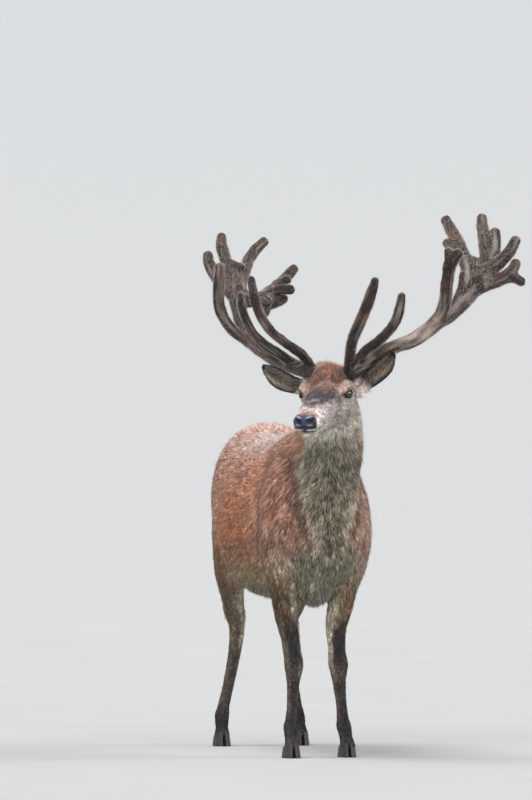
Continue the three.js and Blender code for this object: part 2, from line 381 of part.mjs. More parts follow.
// neck: rings square to its middle line
const NECK_RINGS = 9, NECK_RAYS = 18;
const neckLine = new THREE.CatmullRomCurve3([[10, -395, 905], [24, -462, 1010], [33, -528, 1122], [20, -586, 1215], [-4, -630, 1295], [-20, -672, 1365]].map((p) => new THREE.Vector3(...p)));
const neckRings = Array.from({ length: NECK_RINGS }, (_, i) => {
  const t = i / (NECK_RINGS - 1), c = neckLine.getPointAt(t), n = neckLine.getTangentAt(t), u = new THREE.Vector3(1, 0, 0).addScaledVector(n, -n.x).normalize(), v = n.clone().cross(u);
  return { c: c.toArray(), u: u.toArray(), v: v.toArray() };
});
const neckBody = (x, y, z) => flesh(x, y, z, false, false), ears = (grow) => earSolid(EAR_RIGHT, grow).add(earSolid(EAR_LEFT, grow));
add("neck", keep(keep(loftOf(neckBody, neckRings, NECK_RAYS, { reach: 330, domed: true }), "trunkNeck", 1), "neckHead", -1).subtract(ears(GAP)).subtract(antlersGrown), COLOUR.neck);

// head: rings across its own frame from the nose back; each is how far back it stands and the height of its middle
const HEAD_RINGS = [[-281, -18], [-275, -22], [-262, -30], [-240, -36], [-205, -38], [-165, -36], [-125, -34], [-85, -30], [-50, -26], [-22, -22], [2, -20], [28, -18], [56, -14], [84, -10], [112, -10], [140, -14], [172, -20]], HEAD_RAYS = 20;
const hw = new THREE.Vector3(), headBody = (x, y, z) => { hw.set(x, y, z).applyMatrix4(headMatrix); return body(hw.x, hw.y, hw.z); };
let headSolid = keep(loftOf(headBody, HEAD_RINGS.map(([y, z]) => ({ c: [0, y, z], u: X, v: Z })), HEAD_RAYS, { reach: 210, domed: true }).transform(headMatrix.elements), "neckHead", 1);
const eyeAt = (sign) => new THREE.Vector3(sign * EYE[0], EYE[1], EYE[2]).applyMatrix4(headMatrix);
const ball = (sign, grow) => { const c = eyeAt(sign); return solidOf(new THREE.SphereGeometry(EYE_R + grow, 10, 6), new THREE.Matrix4().makeTranslation(c.x, c.y, c.z)); };
for (const s of [-1, 1]) { headSolid = headSolid.subtract(ball(s, GAP)); add(s < 0 ? "eye_right" : "eye_left", ball(s, 0), COLOUR.eye, 0.1); }
headSolid = headSolid.subtract(ears(GAP)).subtract(antlersGrown);
add("head", headSolid, COLOUR.face);
add("ear_right", earSolid(EAR_RIGHT), COLOUR.ear); add("ear_left", earSolid(EAR_LEFT), COLOUR.ear);

// legs: level rings at these heights; knee and fetlock are the parting heights
const LEGS = {
  foreleg_right: { side: -1, knee: 372, fetlock: 152, rows: FORELEG_RIGHT, hoof: { x: -110, y: -482 }, top: 690 },
  foreleg_left: { side: 1, knee: 374, fetlock: 152, rows: FORELEG_LEFT, hoof: { x: 101, y: -448 }, top: 690 },
  hindleg_right: { side: -1, knee: 400, fetlock: 154, rows: HINDLEG_RIGHT, hoof: { x: -148, y: 560 }, top: 760 },
  hindleg_left: { side: 1, knee: 400, fetlock: 154, rows: HINDLEG_LEFT, hoof: { x: 152, y: 572 }, top: 760 },
};
const CORONET = { front: 47, back: 30, reach: 34 }; // heights of the upper edge of the hoof, half its length
const UPPER_RINGS = { fore: [640, 590, 545, 500, 455, 410], hind: [700, 655, 610, 570, 530, 495, 465, 435] };
const CANNON_RINGS = { fore: [350, 330, 308, 280, 235, 185], hind: [375, 340, 290, 235, 185] };
const PASTERN_RINGS = [132, 114, 96, 74, 54, 30], LEG_RAYS = 10;
const coronetPlane = (hoof) => { // the slanting plane between the pastern and its claws
  const n = unit([0, (CORONET.front - CORONET.back) / (2 * CORONET.reach), 1]), p = [hoof.x, hoof.y, (CORONET.front + CORONET.back) / 2];
  return { n, o: p[0] * n[0] + p[1] * n[1] + p[2] * n[2] };
};
for (const [name, { side, knee, fetlock, rows, hoof, top }] of Object.entries(LEGS)) {
  const middle = [...rows].reverse().map(([x, y, z]) => [z, x, y]), kind = name.slice(0, 4), own = (x, y, z) => Math.min(flesh(x, y, z), limb(x, y, z, rows, 10));
  const piece = (heights, reach) => loftOf(own, heights.map((z) => ({ c: [...rowAt(middle, z), z], u: X, v: Y })), LEG_RAYS, { reach });
  add(`${name}_upper`, piece([top, ...UPPER_RINGS[kind], knee + GAP / 2], side && kind === "hind" ? 150 : 110).subtract(trunkGrown), COLOUR.leg);
  add(`${name}_cannon`, piece([knee - GAP / 2, ...CANNON_RINGS[kind], fetlock + GAP / 2], 90), COLOUR.leg);
  const { n, o } = coronetPlane(hoof);
  let pastern = piece([fetlock - GAP / 2, ...PASTERN_RINGS], 70).trimByPlane(n, o + GAP / 2);
  const back = rows.find((r) => r[2] < 120), dew = (s, grow) => solidOf(new THREE.SphereGeometry(1, 6, 3), new THREE.Matrix4().makeTranslation(back[0] + s * 14, back[1] + 15, 82).multiply(new THREE.Matrix4().makeRotationX(-0.5)).scale(new THREE.Vector3(8.5 + grow, 10 + grow, 17 + grow)));
  for (const s of [-1, 1]) {
    pastern = pastern.subtract(dew(s, GAP));
    const which = s * side > 0 ? "outer" : "inner";
    add(`${name}_dewclaw_${which}`, dew(s, 0), COLOUR.claw, 0.6);
    add(`${name}_claw_${which}`, clawSolid(hoof, s).trimByPlane(n.map((c) => -c), -(o - GAP / 2)), COLOUR.claw, 0.6);
  }
  add(`${name}_pastern`, pastern, COLOUR.leg);
}
export default group;
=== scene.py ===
"""The looks of the red deer stag: one skin over all the flesh, a coat of solid tufts, velvet antlers, hooves and eyes.

Shapes are worked out in millimetres in the modelling frame (the stag faces -Y, its left is +X, ground at 0),
and put into the row frame, in metres, when a mesh is made.
"""
import json
import math
import time

import bpy
import numpy as np
import openvdb
from mathutils import Matrix, Vector

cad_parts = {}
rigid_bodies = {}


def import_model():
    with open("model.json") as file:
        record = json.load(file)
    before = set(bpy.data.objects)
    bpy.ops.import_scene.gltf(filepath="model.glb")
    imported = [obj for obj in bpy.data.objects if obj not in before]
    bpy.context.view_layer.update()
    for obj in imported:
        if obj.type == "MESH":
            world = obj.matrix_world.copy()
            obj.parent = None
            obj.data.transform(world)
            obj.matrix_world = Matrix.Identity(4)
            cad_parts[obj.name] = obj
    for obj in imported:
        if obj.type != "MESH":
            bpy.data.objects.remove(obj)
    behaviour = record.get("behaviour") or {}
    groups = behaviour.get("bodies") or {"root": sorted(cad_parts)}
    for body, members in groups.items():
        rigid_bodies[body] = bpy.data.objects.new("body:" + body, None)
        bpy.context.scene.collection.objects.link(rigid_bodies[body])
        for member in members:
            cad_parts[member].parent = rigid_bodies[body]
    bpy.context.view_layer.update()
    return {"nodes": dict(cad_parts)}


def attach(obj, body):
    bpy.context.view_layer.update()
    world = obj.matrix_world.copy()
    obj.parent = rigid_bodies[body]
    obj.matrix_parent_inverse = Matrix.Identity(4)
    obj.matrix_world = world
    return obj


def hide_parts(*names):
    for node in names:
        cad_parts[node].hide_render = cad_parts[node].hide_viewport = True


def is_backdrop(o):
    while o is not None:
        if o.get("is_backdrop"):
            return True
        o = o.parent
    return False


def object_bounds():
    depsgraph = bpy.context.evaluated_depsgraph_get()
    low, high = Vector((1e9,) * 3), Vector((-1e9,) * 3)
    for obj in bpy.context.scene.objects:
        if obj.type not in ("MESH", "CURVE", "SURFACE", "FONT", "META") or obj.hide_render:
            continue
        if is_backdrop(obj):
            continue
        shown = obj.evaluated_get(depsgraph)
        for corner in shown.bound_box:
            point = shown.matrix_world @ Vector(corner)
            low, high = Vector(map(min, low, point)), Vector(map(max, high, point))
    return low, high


T0 = time.time()
for o in list(bpy.data.objects):
    bpy.data.objects.remove(o)
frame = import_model()
CENTRE = np.array([158.4, -129.8, 0.0])


def say(*words):
    print("[%6.1f s]" % (time.time() - T0), *words, flush=True)


# ------------------------------------------------------------------ soft shapes
def smin(a, b, k):
    h = np.maximum(k - np.abs(a - b), 0) / k
    return np.minimum(a, b) - h * h * k * 0.25


def smax(a, b, k):
    return -smin(-a, -b, k)


def unit(v):
    v = np.asarray(v, float)
    return v / np.linalg.norm(v)


def norm_rows(v):
    return v / np.maximum(np.linalg.norm(v, axis=1), 1e-9)[:, None]


def step(a, b, x):
    t = np.clip((x - a) / (b - a), 0, 1)
    return t * t * (3 - 2 * t)


def hermite_table(rows, keys):
    """Smooth interpolation of table rows keyed by their first column, at many keys."""
    rows = np.array(rows, float)
    k = rows[:, 0]
    i = np.clip(np.searchsorted(k, keys, side="right") - 1, 0, len(k) - 2)
    keys = np.clip(keys, k[0], k[-1])
    i0, i3 = np.maximum(i - 1, 0), np.minimum(i + 2, len(k) - 1)
    p0, p1, p2, p3 = rows[i0], rows[i], rows[i + 1], rows[i3]
    h = (p2[:, :1] - p1[:, :1])
    t = (keys[:, None] - p1[:, :1]) / h
    m1 = (p2 - p0)[:, 1:] / (p2 - p0)[:, :1] * h
    m2 = (p3 - p1)[:, 1:] / (p3 - p1)[:, :1] * h
    t2, t3 = t * t, t * t * t
    return (2 * t3 - 3 * t2 + 1) * p1[:, 1:] + (t3 - 2 * t2 + t) * m1 + (-2 * t3 + 3 * t2) * p2[:, 1:] + (t3 - t2) * m2


def ellipsoid(P, m):
    d = P - np.array(m[:3], float)
    tilt, turn = m[6], m[7]
    if turn:
        a = math.radians(turn)
        c, s = math.cos(a), math.sin(a)
        d = np.stack([c * d[:, 0] + s * d[:, 1], -s * d[:, 0] + c * d[:, 1], d[:, 2]], 1)
    if tilt:
        a = math.radians(tilt)
        c, s = math.cos(a), math.sin(a)
        d = np.stack([d[:, 0], c * d[:, 1] + s * d[:, 2], -s * d[:, 1] + c * d[:, 2]], 1)
    r = np.array(m[3:6], float)
    u = d / r
    k0 = np.sqrt((u * u).sum(1))
    k1 = np.sqrt(((u / r) ** 2).sum(1))
    return np.where(k1 < 1e-9, -r.min(), k0 * (k0 - 1) / np.maximum(k1, 1e-9))


def limb_piece(P, a, b):
    a, b = np.asarray(a, float), np.asarray(b, float)
    w = b[:3] - a[:3]
    ln = np.linalg.norm(w)
    n = w / ln
    p = P - a[:3]
    t = np.clip(p @ n / ln, 0, 1)
    p = p - t[:, None] * w
    s = np.array([1 - n[0] * n[0], -n[0] * n[1], -n[0] * n[2]])
    s = s / np.linalg.norm(s)
    f = np.cross(n, s)
    rs, rf = a[3] + t * (b[3] - a[3]), a[4] + t * (b[4] - a[4])
    rw = np.minimum(rs, rf)
    ds, df, dw = p @ s / rs, p @ f / rf, p @ n / rw
    k0 = np.sqrt(ds * ds + df * df + dw * dw)
    k1 = np.sqrt((ds / rs) ** 2 + (df / rf) ** 2 + (dw / rw) ** 2)
    return np.where(k1 < 1e-9, -rw, k0 * (k0 - 1) / np.maximum(k1, 1e-9))


FAR = 400.0
REACH = 95.0


def inside(P, lo, hi, margin):
    return np.nonzero(((P > np.asarray(lo) - margin) & (P < np.asarray(hi) + margin)).all(1))[0]


def join_ellipsoid(d, P, m, mirrored=False, scale=1.0):
    """d joined softly with one ellipsoid, worked out only near it."""
    r = max(m[3:6]) if (m[6] or m[7]) else None
    c = np.array(m[:3], float)
    e = np.full(3, r) if r else np.array(m[3:6], float)
    Q = np.abs(P[:, :1]) if mirrored else None
    if mirrored:
        Q = np.concatenate([Q, P[:, 1:]], 1)
    else:
        Q = P
    i = inside(Q, c - e, c + e, REACH * scale)
    if len(i):
        d[i] = smin(d[i], ellipsoid(Q[i], m), m[8])
    return d


def limb_field(P, stations, k, scale=1.0):
    d = np.full(len(P), FAR)
    for a, b in zip(stations[:-1], stations[1:]):
        r = max(a[3], a[4], b[3], b[4])
        lo, hi = np.minimum(a[:3], b[:3]) - r, np.maximum(a[:3], b[:3]) + r
        i = inside(P, lo, hi, REACH * scale)
        if len(i):
            d[i] = smin(d[i], limb_piece(P[i], a, b), k)
    return d


def tube_table(rows, axis, count=160):
    """A limb's stations as a fine table along one axis: the two other middles, the two radii in the section's plane, its slope."""
    o = [k for k in range(3) if k != axis]
    t = np.array([[r[axis], r[o[0]], r[o[1]], r[3], r[4]] for r in rows], float)
    if t[0, 0] > t[-1, 0]:
        t = t[::-1]
    keys = np.linspace(t[0, 0], t[-1, 0], count)
    v = hermite_table(t, keys)
    slope = np.gradient(v[:, :2], keys, axis=0)
    return {"axis": axis, "o": o, "keys": keys, "v": v, "slope": slope, "lo": keys[0], "hi": keys[-1]}


def tube_field(P, tube, margin=110.0):
    """Distance to a smooth tube whose sections are level with one axis, with round ends."""
    d = np.full(len(P), FAR)
    a, (u, w) = tube["axis"], tube["o"]
    v, keys = tube["v"], tube["keys"]
    r = v[:, 2:].max()
    lo, hi = np.empty(3), np.empty(3)
    lo[a], hi[a] = tube["lo"] - r * 0.3, tube["hi"] + r * 0.3
    lo[u], hi[u] = v[:, 0].min() - r, v[:, 0].max() + r
    lo[w], hi[w] = v[:, 1].min() - r, v[:, 1].max() + r
    i = inside(P, lo, hi, margin)
    if not len(i):
        return d
    Q = P[i]
    key = np.clip(Q[:, a], tube["lo"], tube["hi"])
    f = (key - tube["lo"]) / (tube["hi"] - tube["lo"]) * (len(keys) - 1)
    k = np.clip(f.astype(int), 0, len(keys) - 2)
    f = (f - k)[:, None]
    row = v[k] * (1 - f) + v[k + 1] * f
    sl = tube["slope"][k] * (1 - f) + tube["slope"][k + 1] * f
    su, sw = np.sqrt(1 + sl[:, 0] ** 2), np.sqrt(1 + sl[:, 1] ** 2)
    ru, rw = row[:, 2] * su, row[:, 3] * sw
    re = np.minimum(row[:, 2], row[:, 3])
    x, y, e = (Q[:, u] - row[:, 0]) / ru, (Q[:, w] - row[:, 1]) / rw, (Q[:, a] - key) / re
    k0 = np.sqrt(x * x + y * y + e * e)
    k1 = np.sqrt((x / ru) ** 2 + (y / rw) ** 2 + (e / re) ** 2)
    g = np.where(k1 < 1e-9, -re, k0 * (k0 - 1) / np.maximum(k1, 1e-9))
    d[i] = g / np.sqrt(su * sw)
    return d


# ------------------------------------------------------------------ the body's sizes, as in the solids
TRUNK = [
    [-640, 900, 800, 850, 20, 10, 2.0], [-600, 990, 715, 840, 92, 10, 2.0], [-540, 1060, 640, 830, 136, 8, 2.0],
    [-450, 1140, 584, 815, 164, 4, 1.9], [-370, 1190, 572, 812, 178, 0, 1.7], [-250, 1190, 568, 812, 202, -4, 1.7],
    [-100, 1166, 555, 812, 228, -10, 1.8], [60, 1154, 548, 812, 246, -14, 1.9], [200, 1158, 562, 830, 236, -12, 1.95],
    [330, 1182, 626, 870, 208, -6, 2.1], [450, 1197, 690, 925, 198, 0, 2.25], [560, 1166, 770, 935, 178, 0, 2.25],
    [650, 1092, 840, 950, 122, 0, 2.0], [705, 1000, 900, 950, 40, 0, 2.0],
]
MUSCLES = [
    [106, -372, 828, 96, 138, 232, -12, 0, 40], [108, -450, 790, 66, 84, 108, 10, 0, 50], [120, -345, 705, 58, 80, 92, 20, 0, 40],
    [96, 470, 900, 104, 165, 205, 0, 0, 40], [122, 388, 745, 64, 112, 150, -18, 0, 40], [108, 548, 780, 70, 98, 172, 12, 0, 40],
]
MIDDLE = [[-18, -425, 626, 62, 120, 82, 8, 0, 40], [12, -540, 760, 92, 92, 130, 0, 0, 50]]
FORELEG_RIGHT = [[-122, -385, 760, 58, 95], [-130, -395, 662, 52, 84], [-127, -425, 572, 45, 62], [-112, -438, 462, 38, 42], [-99, -446, 385, 31, 34], [-95, -450, 332, 35, 37],
                 [-97, -448, 272, 25, 29], [-101, -448, 200, 19.5, 24], [-105, -450, 140, 21, 26], [-107, -450, 110, 26, 30], [-109, -470, 70, 23, 25], [-110, -486, 44, 25, 27]]
FORELEG_LEFT = [[108, -375, 760, 58, 95], [110, -380, 665, 50, 84], [92, -405, 572, 47, 62], [68, -418, 465, 38, 42], [68, -424, 385, 32, 34], [72, -428, 334, 36, 37],
                [76, -424, 272, 26, 29], [84, -420, 200, 20.5, 24], [91, -418, 140, 22, 26], [95, -417, 112, 27, 30], [99, -436, 71, 24, 25], [102, -452, 44, 26, 27]]
HINDLEG_RIGHT = [[-124, 392, 770, 72, 128], [-136, 462, 645, 53, 90], [-108, 546, 525, 36, 51], [-78, 632, 448, 30, 40], [-80, 634, 382, 26, 33], [-104, 617, 265, 22, 26],
                 [-134, 596, 150, 22, 26], [-142, 590, 114, 27, 31], [-146, 572, 72, 24, 26], [-148, 558, 44, 26, 28]]
HINDLEG_LEFT = [[124, 392, 770, 72, 128], [138, 468, 645, 53, 90], [128, 556, 525, 36, 51], [120, 644, 448, 30, 40], [121, 646, 382, 26, 33], [130, 629, 265, 22, 26],
                [142, 608, 150, 22, 26], [146, 602, 114, 27, 31], [150, 584, 72, 24, 26], [152, 570, 44, 26, 28]]
LEGS = {"foreleg_right": FORELEG_RIGHT, "foreleg_left": FORELEG_LEFT, "hindleg_right": HINDLEG_RIGHT, "hindleg_left": HINDLEG_LEFT}
NECK = [[8, -400, 965, 108, 190], [28, -470, 1040, 112, 158], [33, -528, 1122, 108, 134], [20, -586, 1215, 102, 114], [-6, -622, 1300, 90, 96], [-22, -636, 1345, 74, 74]]
TAIL = [[0, 655, 1092, 30, 24], [0, 702, 1025, 33, 20], [0, 720, 955, 27, 16], [0, 726, 912, 13, 9]]

HEAD_AT = np.array([-43.5, -752, 1294])
HEAD_TURN, HEAD_TILT = -29.7, 16.0


def rot(axis, degrees):
    return np.array(Matrix.Rotation(math.radians(degrees), 3, axis))


HEAD_R = rot("Z", HEAD_TURN) @ rot("X", HEAD_TILT)  # head frame to body frame: x to its left, y back, z up
HEAD_MIDDLE = [
    [0, 80, 9, 72, 82, 60, 0, 0, 20], [0, 28, 30, 78, 78, 42, 14, 0, 26], [0, 66, 50, 50, 46, 26, 0, 0, 22],
    [0, 10, -66, 58, 90, 52, 0, 0, 36], [0, 90, -66, 76, 84, 72, 0, 0, 40], [0, -270, -21, 38, 17, 25, 0, 0, 10],
    [0, -240, -46, 51, 34, 21, 0, 0, 14], [0, -224, -78, 33, 32, 15, 0, 0, 8],
]
HEAD_PAIRS = [
    [69, 8, 16, 32, 44, 36, 0, 0, 22], [58, 26, -44, 36, 66, 56, 0, 0, 26], [70, 50, -12, 24, 54, 26, 0, 0, 22],
    [26, -260, -20, 15, 22, 19, 0, 0, 10], [80, 104, 16, 32, 34, 34, 0, 0, 22],
]
MUZZLE = [[0, 10, -4, 74, 56], [0, -80, -16, 62, 50], [0, -160, -23, 55, 42], [0, -236, -29, 49, 33]]
JAW = [[0, -210, -72, 32, 18], [0, -120, -68, 45, 30], [0, -20, -72, 55, 44]]
PEDICLES = [[[-42, 72, 34, 28, 28], [-57, 86, 50, 27, 27]], [[42, 72, 34, 28, 28], [57, 86, 50, 27, 27]]]

LEG_TUBES = {name: tube_table(rows, 2) for name, rows in LEGS.items()}
TAIL_TUBE = tube_table(TAIL, 2)
_nk = np.array(NECK, float)
NECK_FINE = hermite_table(np.concatenate([np.arange(len(NECK))[:, None], _nk], 1), np.linspace(0, len(NECK) - 1, 16)).tolist()
MUZZLE_TUBE, JAW_TUBE = tube_table(MUZZLE, 1), tube_table(JAW, 1)
EAR_RIGHT = {"base": [-88, -660, 1318], "tip": [-236, -540, 1403], "open": [-0.50, -0.80, 0.12], "half": 38, "sag": -17}
EAR_LEFT = {"base": [72, -740, 1316], "tip": [190, -824, 1447], "open": [0.10, -0.97, -0.16], "half": 40, "sag": 15}
EAR_ROWS = [[0, 0.62, 24, 3, 0], [0.16, 0.72, 25, 8, 3], [0.32, 0.9, 24, 16, 6], [0.5, 1, 21, 16, 8], [0.68, 0.93, 17, 12, 8], [0.84, 0.66, 11, 7, 6], [0.95, 0.32, 7, 3.5, 2], [0.99, 0.12, 4, 1.2, 0]]


def to_head(P):
    return (P - HEAD_AT) @ HEAD_R


def from_head(L):
    return L @ HEAD_R.T + HEAD_AT


# ------------------------------------------------------------------ fields
_ty = np.arange(TRUNK[0][0], TRUNK[-1][0] + 0.5, 1.0)
_tt = hermite_table(TRUNK, _ty)


TRUNK_ENDS, TRUNK_ROUND = (-556.0, 628.0), (66.0, 74.0)  # where the rounding of each end starts, and its radius


def trunk_field(P):
    d = np.full(len(P), FAR)
    i = np.nonzero((P[:, 2] > 380) & (P[:, 2] < 1400))[0]
    x, y, z = P[i, 0], P[i, 1], P[i, 2]
    yc = np.clip(y, TRUNK_ENDS[0], TRUNK_ENDS[1])
    f = (yc - TRUNK[0][0] - np.floor(yc - TRUNK[0][0]))[:, None]
    k = np.clip(np.floor(yc - TRUNK[0][0]).astype(int), 0, len(_ty) - 2)
    row = _tt[k] * (1 - f) + _tt[k + 1] * f
    top, bottom, mid, hw, shift, n = row.T
    up = z > mid
    h = np.where(up, top - mid, mid - bottom)
    e = np.where(up, n, 2.2)
    u, v = np.abs(x - shift) / hw, np.abs(z - mid) / h
    q = np.power(np.power(np.maximum(u, 1e-6), e) + np.power(np.maximum(v, 1e-6), e), 1 / e)
    r = np.hypot(x - shift, z - mid) / np.maximum(q, 1e-6)
    g = (q - 1) * np.minimum(r, hw * 1.1 + 20) * 0.92
    past = np.abs(y - yc)
    r = np.where(y < 0, TRUNK_ROUND[0], TRUNK_ROUND[1])
    g = np.where(past > 0, np.hypot(np.maximum(g + r, 0), past) - r, g)
    d[i] = g
    return d


def head_field(L):
    """The head's solid in its own frame."""
    d = np.full(len(L), FAR)
    for m in HEAD_MIDDLE:
        join_ellipsoid(d, L, m, scale=0.6)
    for m in HEAD_PAIRS:
        join_ellipsoid(d, L, m, mirrored=True, scale=0.6)
    d = smin(d, tube_field(L, MUZZLE_TUBE, 60) - 1.5, 22)
    d = smin(d, tube_field(L, JAW_TUBE, 60) - 1.0, 16)
    for p in PEDICLES:
        d = smin(d, limb_field(L, p, 5, 0.5), 22)
    return d


_er = np.array(EAR_ROWS, float)
_es = np.linspace(0, 1, 201)
_et = hermite_table(EAR_ROWS, _es * 0.99)


def ear_frame(E):
    base, tip = np.array(E["base"], float), np.array(E["tip"], float)
    axis = tip - base
    ln = np.linalg.norm(axis)
    axis = axis / ln
    face = unit(np.array(E["open"]) - axis * (axis @ np.array(E["open"])))
    return base, axis, ln, face, np.cross(axis, face)


def ear_at(P, E):
    """Where points stand in an ear: part of its length, part of its half width, height over the middle of the shell, and its field."""
    base, axis, ln, face, side = ear_frame(E)
    q = P - base
    s = q @ axis / ln
    sc = np.clip(s, 0, 1)
    w, back, cup, bow = [np.interp(sc, _es, _et[:, j]) for j in range(4)]
    half = np.maximum(w * E["half"] - 1.0, 1.5)
    lat = q @ side - E["sag"] * np.sin(np.pi * sc)
    dep = q @ face + bow
    a = lat / half
    aa = np.clip(np.abs(a), 0, 1)
    t = 5.6 + 16 * (1 - step(0.0, 0.22, sc)) - 0.6 * step(0.6, 1.0, sc)
    reach = np.maximum(back - 1.2 - t / 2, 1.0)
    mid = -reach * np.cos(aa * np.pi / 2)
    slope = reach * np.sin(aa * np.pi / 2) * (np.pi / 2) / half
    g = np.sqrt(1 + slope * slope)
    sheet = np.abs(dep - mid) / g - t / 2
    f = smax(sheet, (np.abs(a) - 1) * half, 4.0)
    f = smax(f, (s - 0.985) * ln, 4.0)
    f = smax(f, -(s + 0.10) * ln, 4.0)
    return s, a, (dep - mid) / g, f


def ear_fields(P, margin=45.0):
    d = np.full(len(P), FAR)
    for E in (EAR_RIGHT, EAR_LEFT):
        b, t = np.array(E["base"], float), np.array(E["tip"], float)
        i = inside(P, np.minimum(b, t) - 45, np.maximum(b, t) + 45, margin)
        if len(i):
            d[i] = np.minimum(d[i], ear_at(P[i], E)[3])
    return d


# the eye: ball, the way it looks, and the slit between its lids, in the head frame on the left side
EYE_C = np.array([79.0, -8.0, 6.5])
EYE_R = 18.0
EYE_OUT = unit([0.86, -0.47, 0.10])
_up = HEAD_R.T @ np.array([0, 0, 1.0])
EYE_P = unit(np.cross(_up, EYE_OUT))       # along the slit, to the back
EYE_P = unit(EYE_P + 0.10 * _up)
EYE_Q = unit(np.cross(EYE_OUT, EYE_P))     # across the slit, upwards
if EYE_Q @ _up < 0:
    EYE_Q = -EYE_Q
if EYE_P[1] < 0:
    EYE_P = -EYE_P


def ridge(L, a, b, width):
    """Bell-shaped nearness to a stretch from a to b."""
    a, b = np.array(a, float), np.array(b, float)
    w = b - a
    t = np.clip((L - a) @ w / (w @ w), 0, 1)
    d = np.linalg.norm(L - a - t[:, None] * w, axis=1)
    return np.exp(-(d / width) ** 2), t


def mouth_line(y):
    """Height of the mouth slit along the muzzle."""
    return -60.0 + 6.0 * step(-210, -150, y) - 2.0 * step(-262, -285, y)


def head_detail(L):
    """Small relief of the face: how far the skin goes in (+) or out (-), in the head frame."""
    A = np.abs(L)
    M = np.stack([np.abs(L[:, 0]), L[:, 1], L[:, 2]], 1)
    y, z = L[:, 1], L[:, 2]
    f = np.zeros(len(L))
    # slit gland in front of the eye, its raised edge
    g, t = ridge(M, [82, -36, 2], [58, -72, -18], 3.0)
    f += 7.5 * g
    g, t = ridge(M, [84, -40, -8], [61, -76, -27], 5.5)
    f -= 1.8 * g
    g, t = ridge(M, [80, -42, 8], [57, -74, -10], 4.5)
    f -= 0.9 * g
    # brow over the eye and the hollow above it
    g, t = ridge(M, [86, -28, 26], [84, 22, 34], 9.0)
    f -= 5.0 * g
    g, t = ridge(M, [62, -34, 36], [60, 6, 50], 12.0)
    f += 3.4 * g
    # crest of the cheek running forward from under the eye
    g, t = ridge(M, [82, -14, -22], [56, -110, -34], 8.0)
    f -= 2.2 * g * (1 - t)
    g, t = ridge(M, [66, -40, -44], [50, -120, -54], 12.0)
    f += 2.0 * g
    # hollow in front of the cheek muscle, and the muscle's edge
    g, t = ridge(M, [62, -24, -66], [56, -40, -92], 12.0)
    f += 2.4 * g
    # folds at the corner of the mouth
    for k in range(3):
        g, t = ridge(M, [50, -172 + 13 * k, -40 - 3 * k], [44, -166 + 12 * k, -74], 2.6)
        f += 1.1 * g
    # bridge of the nose: flat top with soft edges
    g, t = ridge(M, [30, -90, 32], [24, -220, 10], 9.0)
    f -= 1.2 * g
    # mouth slit
    zm = mouth_line(y)
    w = 2.1 + 1.4 * step(-235, -280, y)
    run = step(-148, -168, y)
    f += (3.6 + 3.0 * step(-225, -275, y)) * np.exp(-((z - zm) / w) ** 2) * run
    # lips swell beside the slit
    f -= 1.3 * np.exp(-((z - zm - 9) / 5.0) ** 2) * run
    f -= 1.6 * np.exp(-((z - zm + 8) / 4.5) ** 2) * run
    # nostrils: a round hole that runs out into a slit, with a raised wing above
    g, t = ridge(M, [17, -285, -17], [23, -280, -21], 7.0)
    f += 12.0 * g
    g, t = ridge(M, [25, -281, -20], [39, -268, -8], 3.8)
    f += 8.5 * g
    g, t = ridge(M, [17, -284, -5], [36, -272, 2], 5.0)
    f -= 2.4 * g
    g, t = ridge(M, [14, -288, -29], [33, -278, -29], 4.0)
    f -= 1.2 * g
    # groove down the middle of the nose pad
    g, t = ridge(L, [0, -292, -12], [0, -282, -56], 2.2)
    f += 2.2 * g
    return f


def eye_field(L, d):
    """Lids closed round the ball, and the slit cut between them, on both sides."""
    M = np.stack([np.abs(L[:, 0]), L[:, 1], L[:, 2]], 1)
    i = np.nonzero(((M - EYE_C) ** 2).sum(1) < 46 ** 2)[0]
    if not len(i):
        return d
    q = M[i] - EYE_C
    r = np.linalg.norm(q, axis=1)
    out, p, u = q @ EYE_OUT, q @ EYE_P, q @ EYE_Q
    e = smin(d[i], r - (EYE_R + 2.0), 9.0)
    pp = p / 17.2
    top = 12.2 * np.clip(1 - pp ** 2, -2, 1) + 0.8 * pp
    low = -10.4 * np.clip(1 - pp ** 2, -2, 1) + 0.6 * pp
    gap = np.maximum(u - top, low - u)
    # fold over the upper lid and the bag under the lower
    e += 1.9 * np.exp(-((u - top - 6.5) / 2.2) ** 2) * np.exp(-(p / 17) ** 2) * (out > 0)
    e += 1.3 * np.exp(-((u - low + 7.0) / 2.0) ** 2) * np.exp(-(p / 15) ** 2) * (out > 0)
    e -= 0.9 * np.exp(-((u - top - 1.6) / 1.6) ** 2) * np.exp(-(p / 15) ** 2) * (out > 0)
    e -= 0.9 * np.exp(-((u - low + 1.6) / 1.6) ** 2) * np.exp(-(p / 15) ** 2) * (out > 0)
    cut = np.maximum(np.maximum(gap, EYE_R - 2.6 - r), 2.0 - out)  # deep enough that only the ball shows in it
    d[i] = smax(e, -cut, 1.0)
    return d


def nose_weight(L):
    """1 on the naked nose pad, 0 on the hair."""
    y, z, x = L[:, 1], L[:, 2], np.abs(L[:, 0])
    w = step(-256, -264, y + 0.10 * (x - 20)) * step(-50, -44, z + 0.02 * x) * step(7, 1, z + 0.10 * (y + 275) + 0.004 * x * x)
    low = np.exp(-((x / 13.0) ** 2)) * step(-268, -274, y) * step(-60, -54, z) * step(-40, -46, z)  # strip down the lip
    side = step(47, 40, x)
    return np.clip(np.maximum(w * side, low), 0, 1)


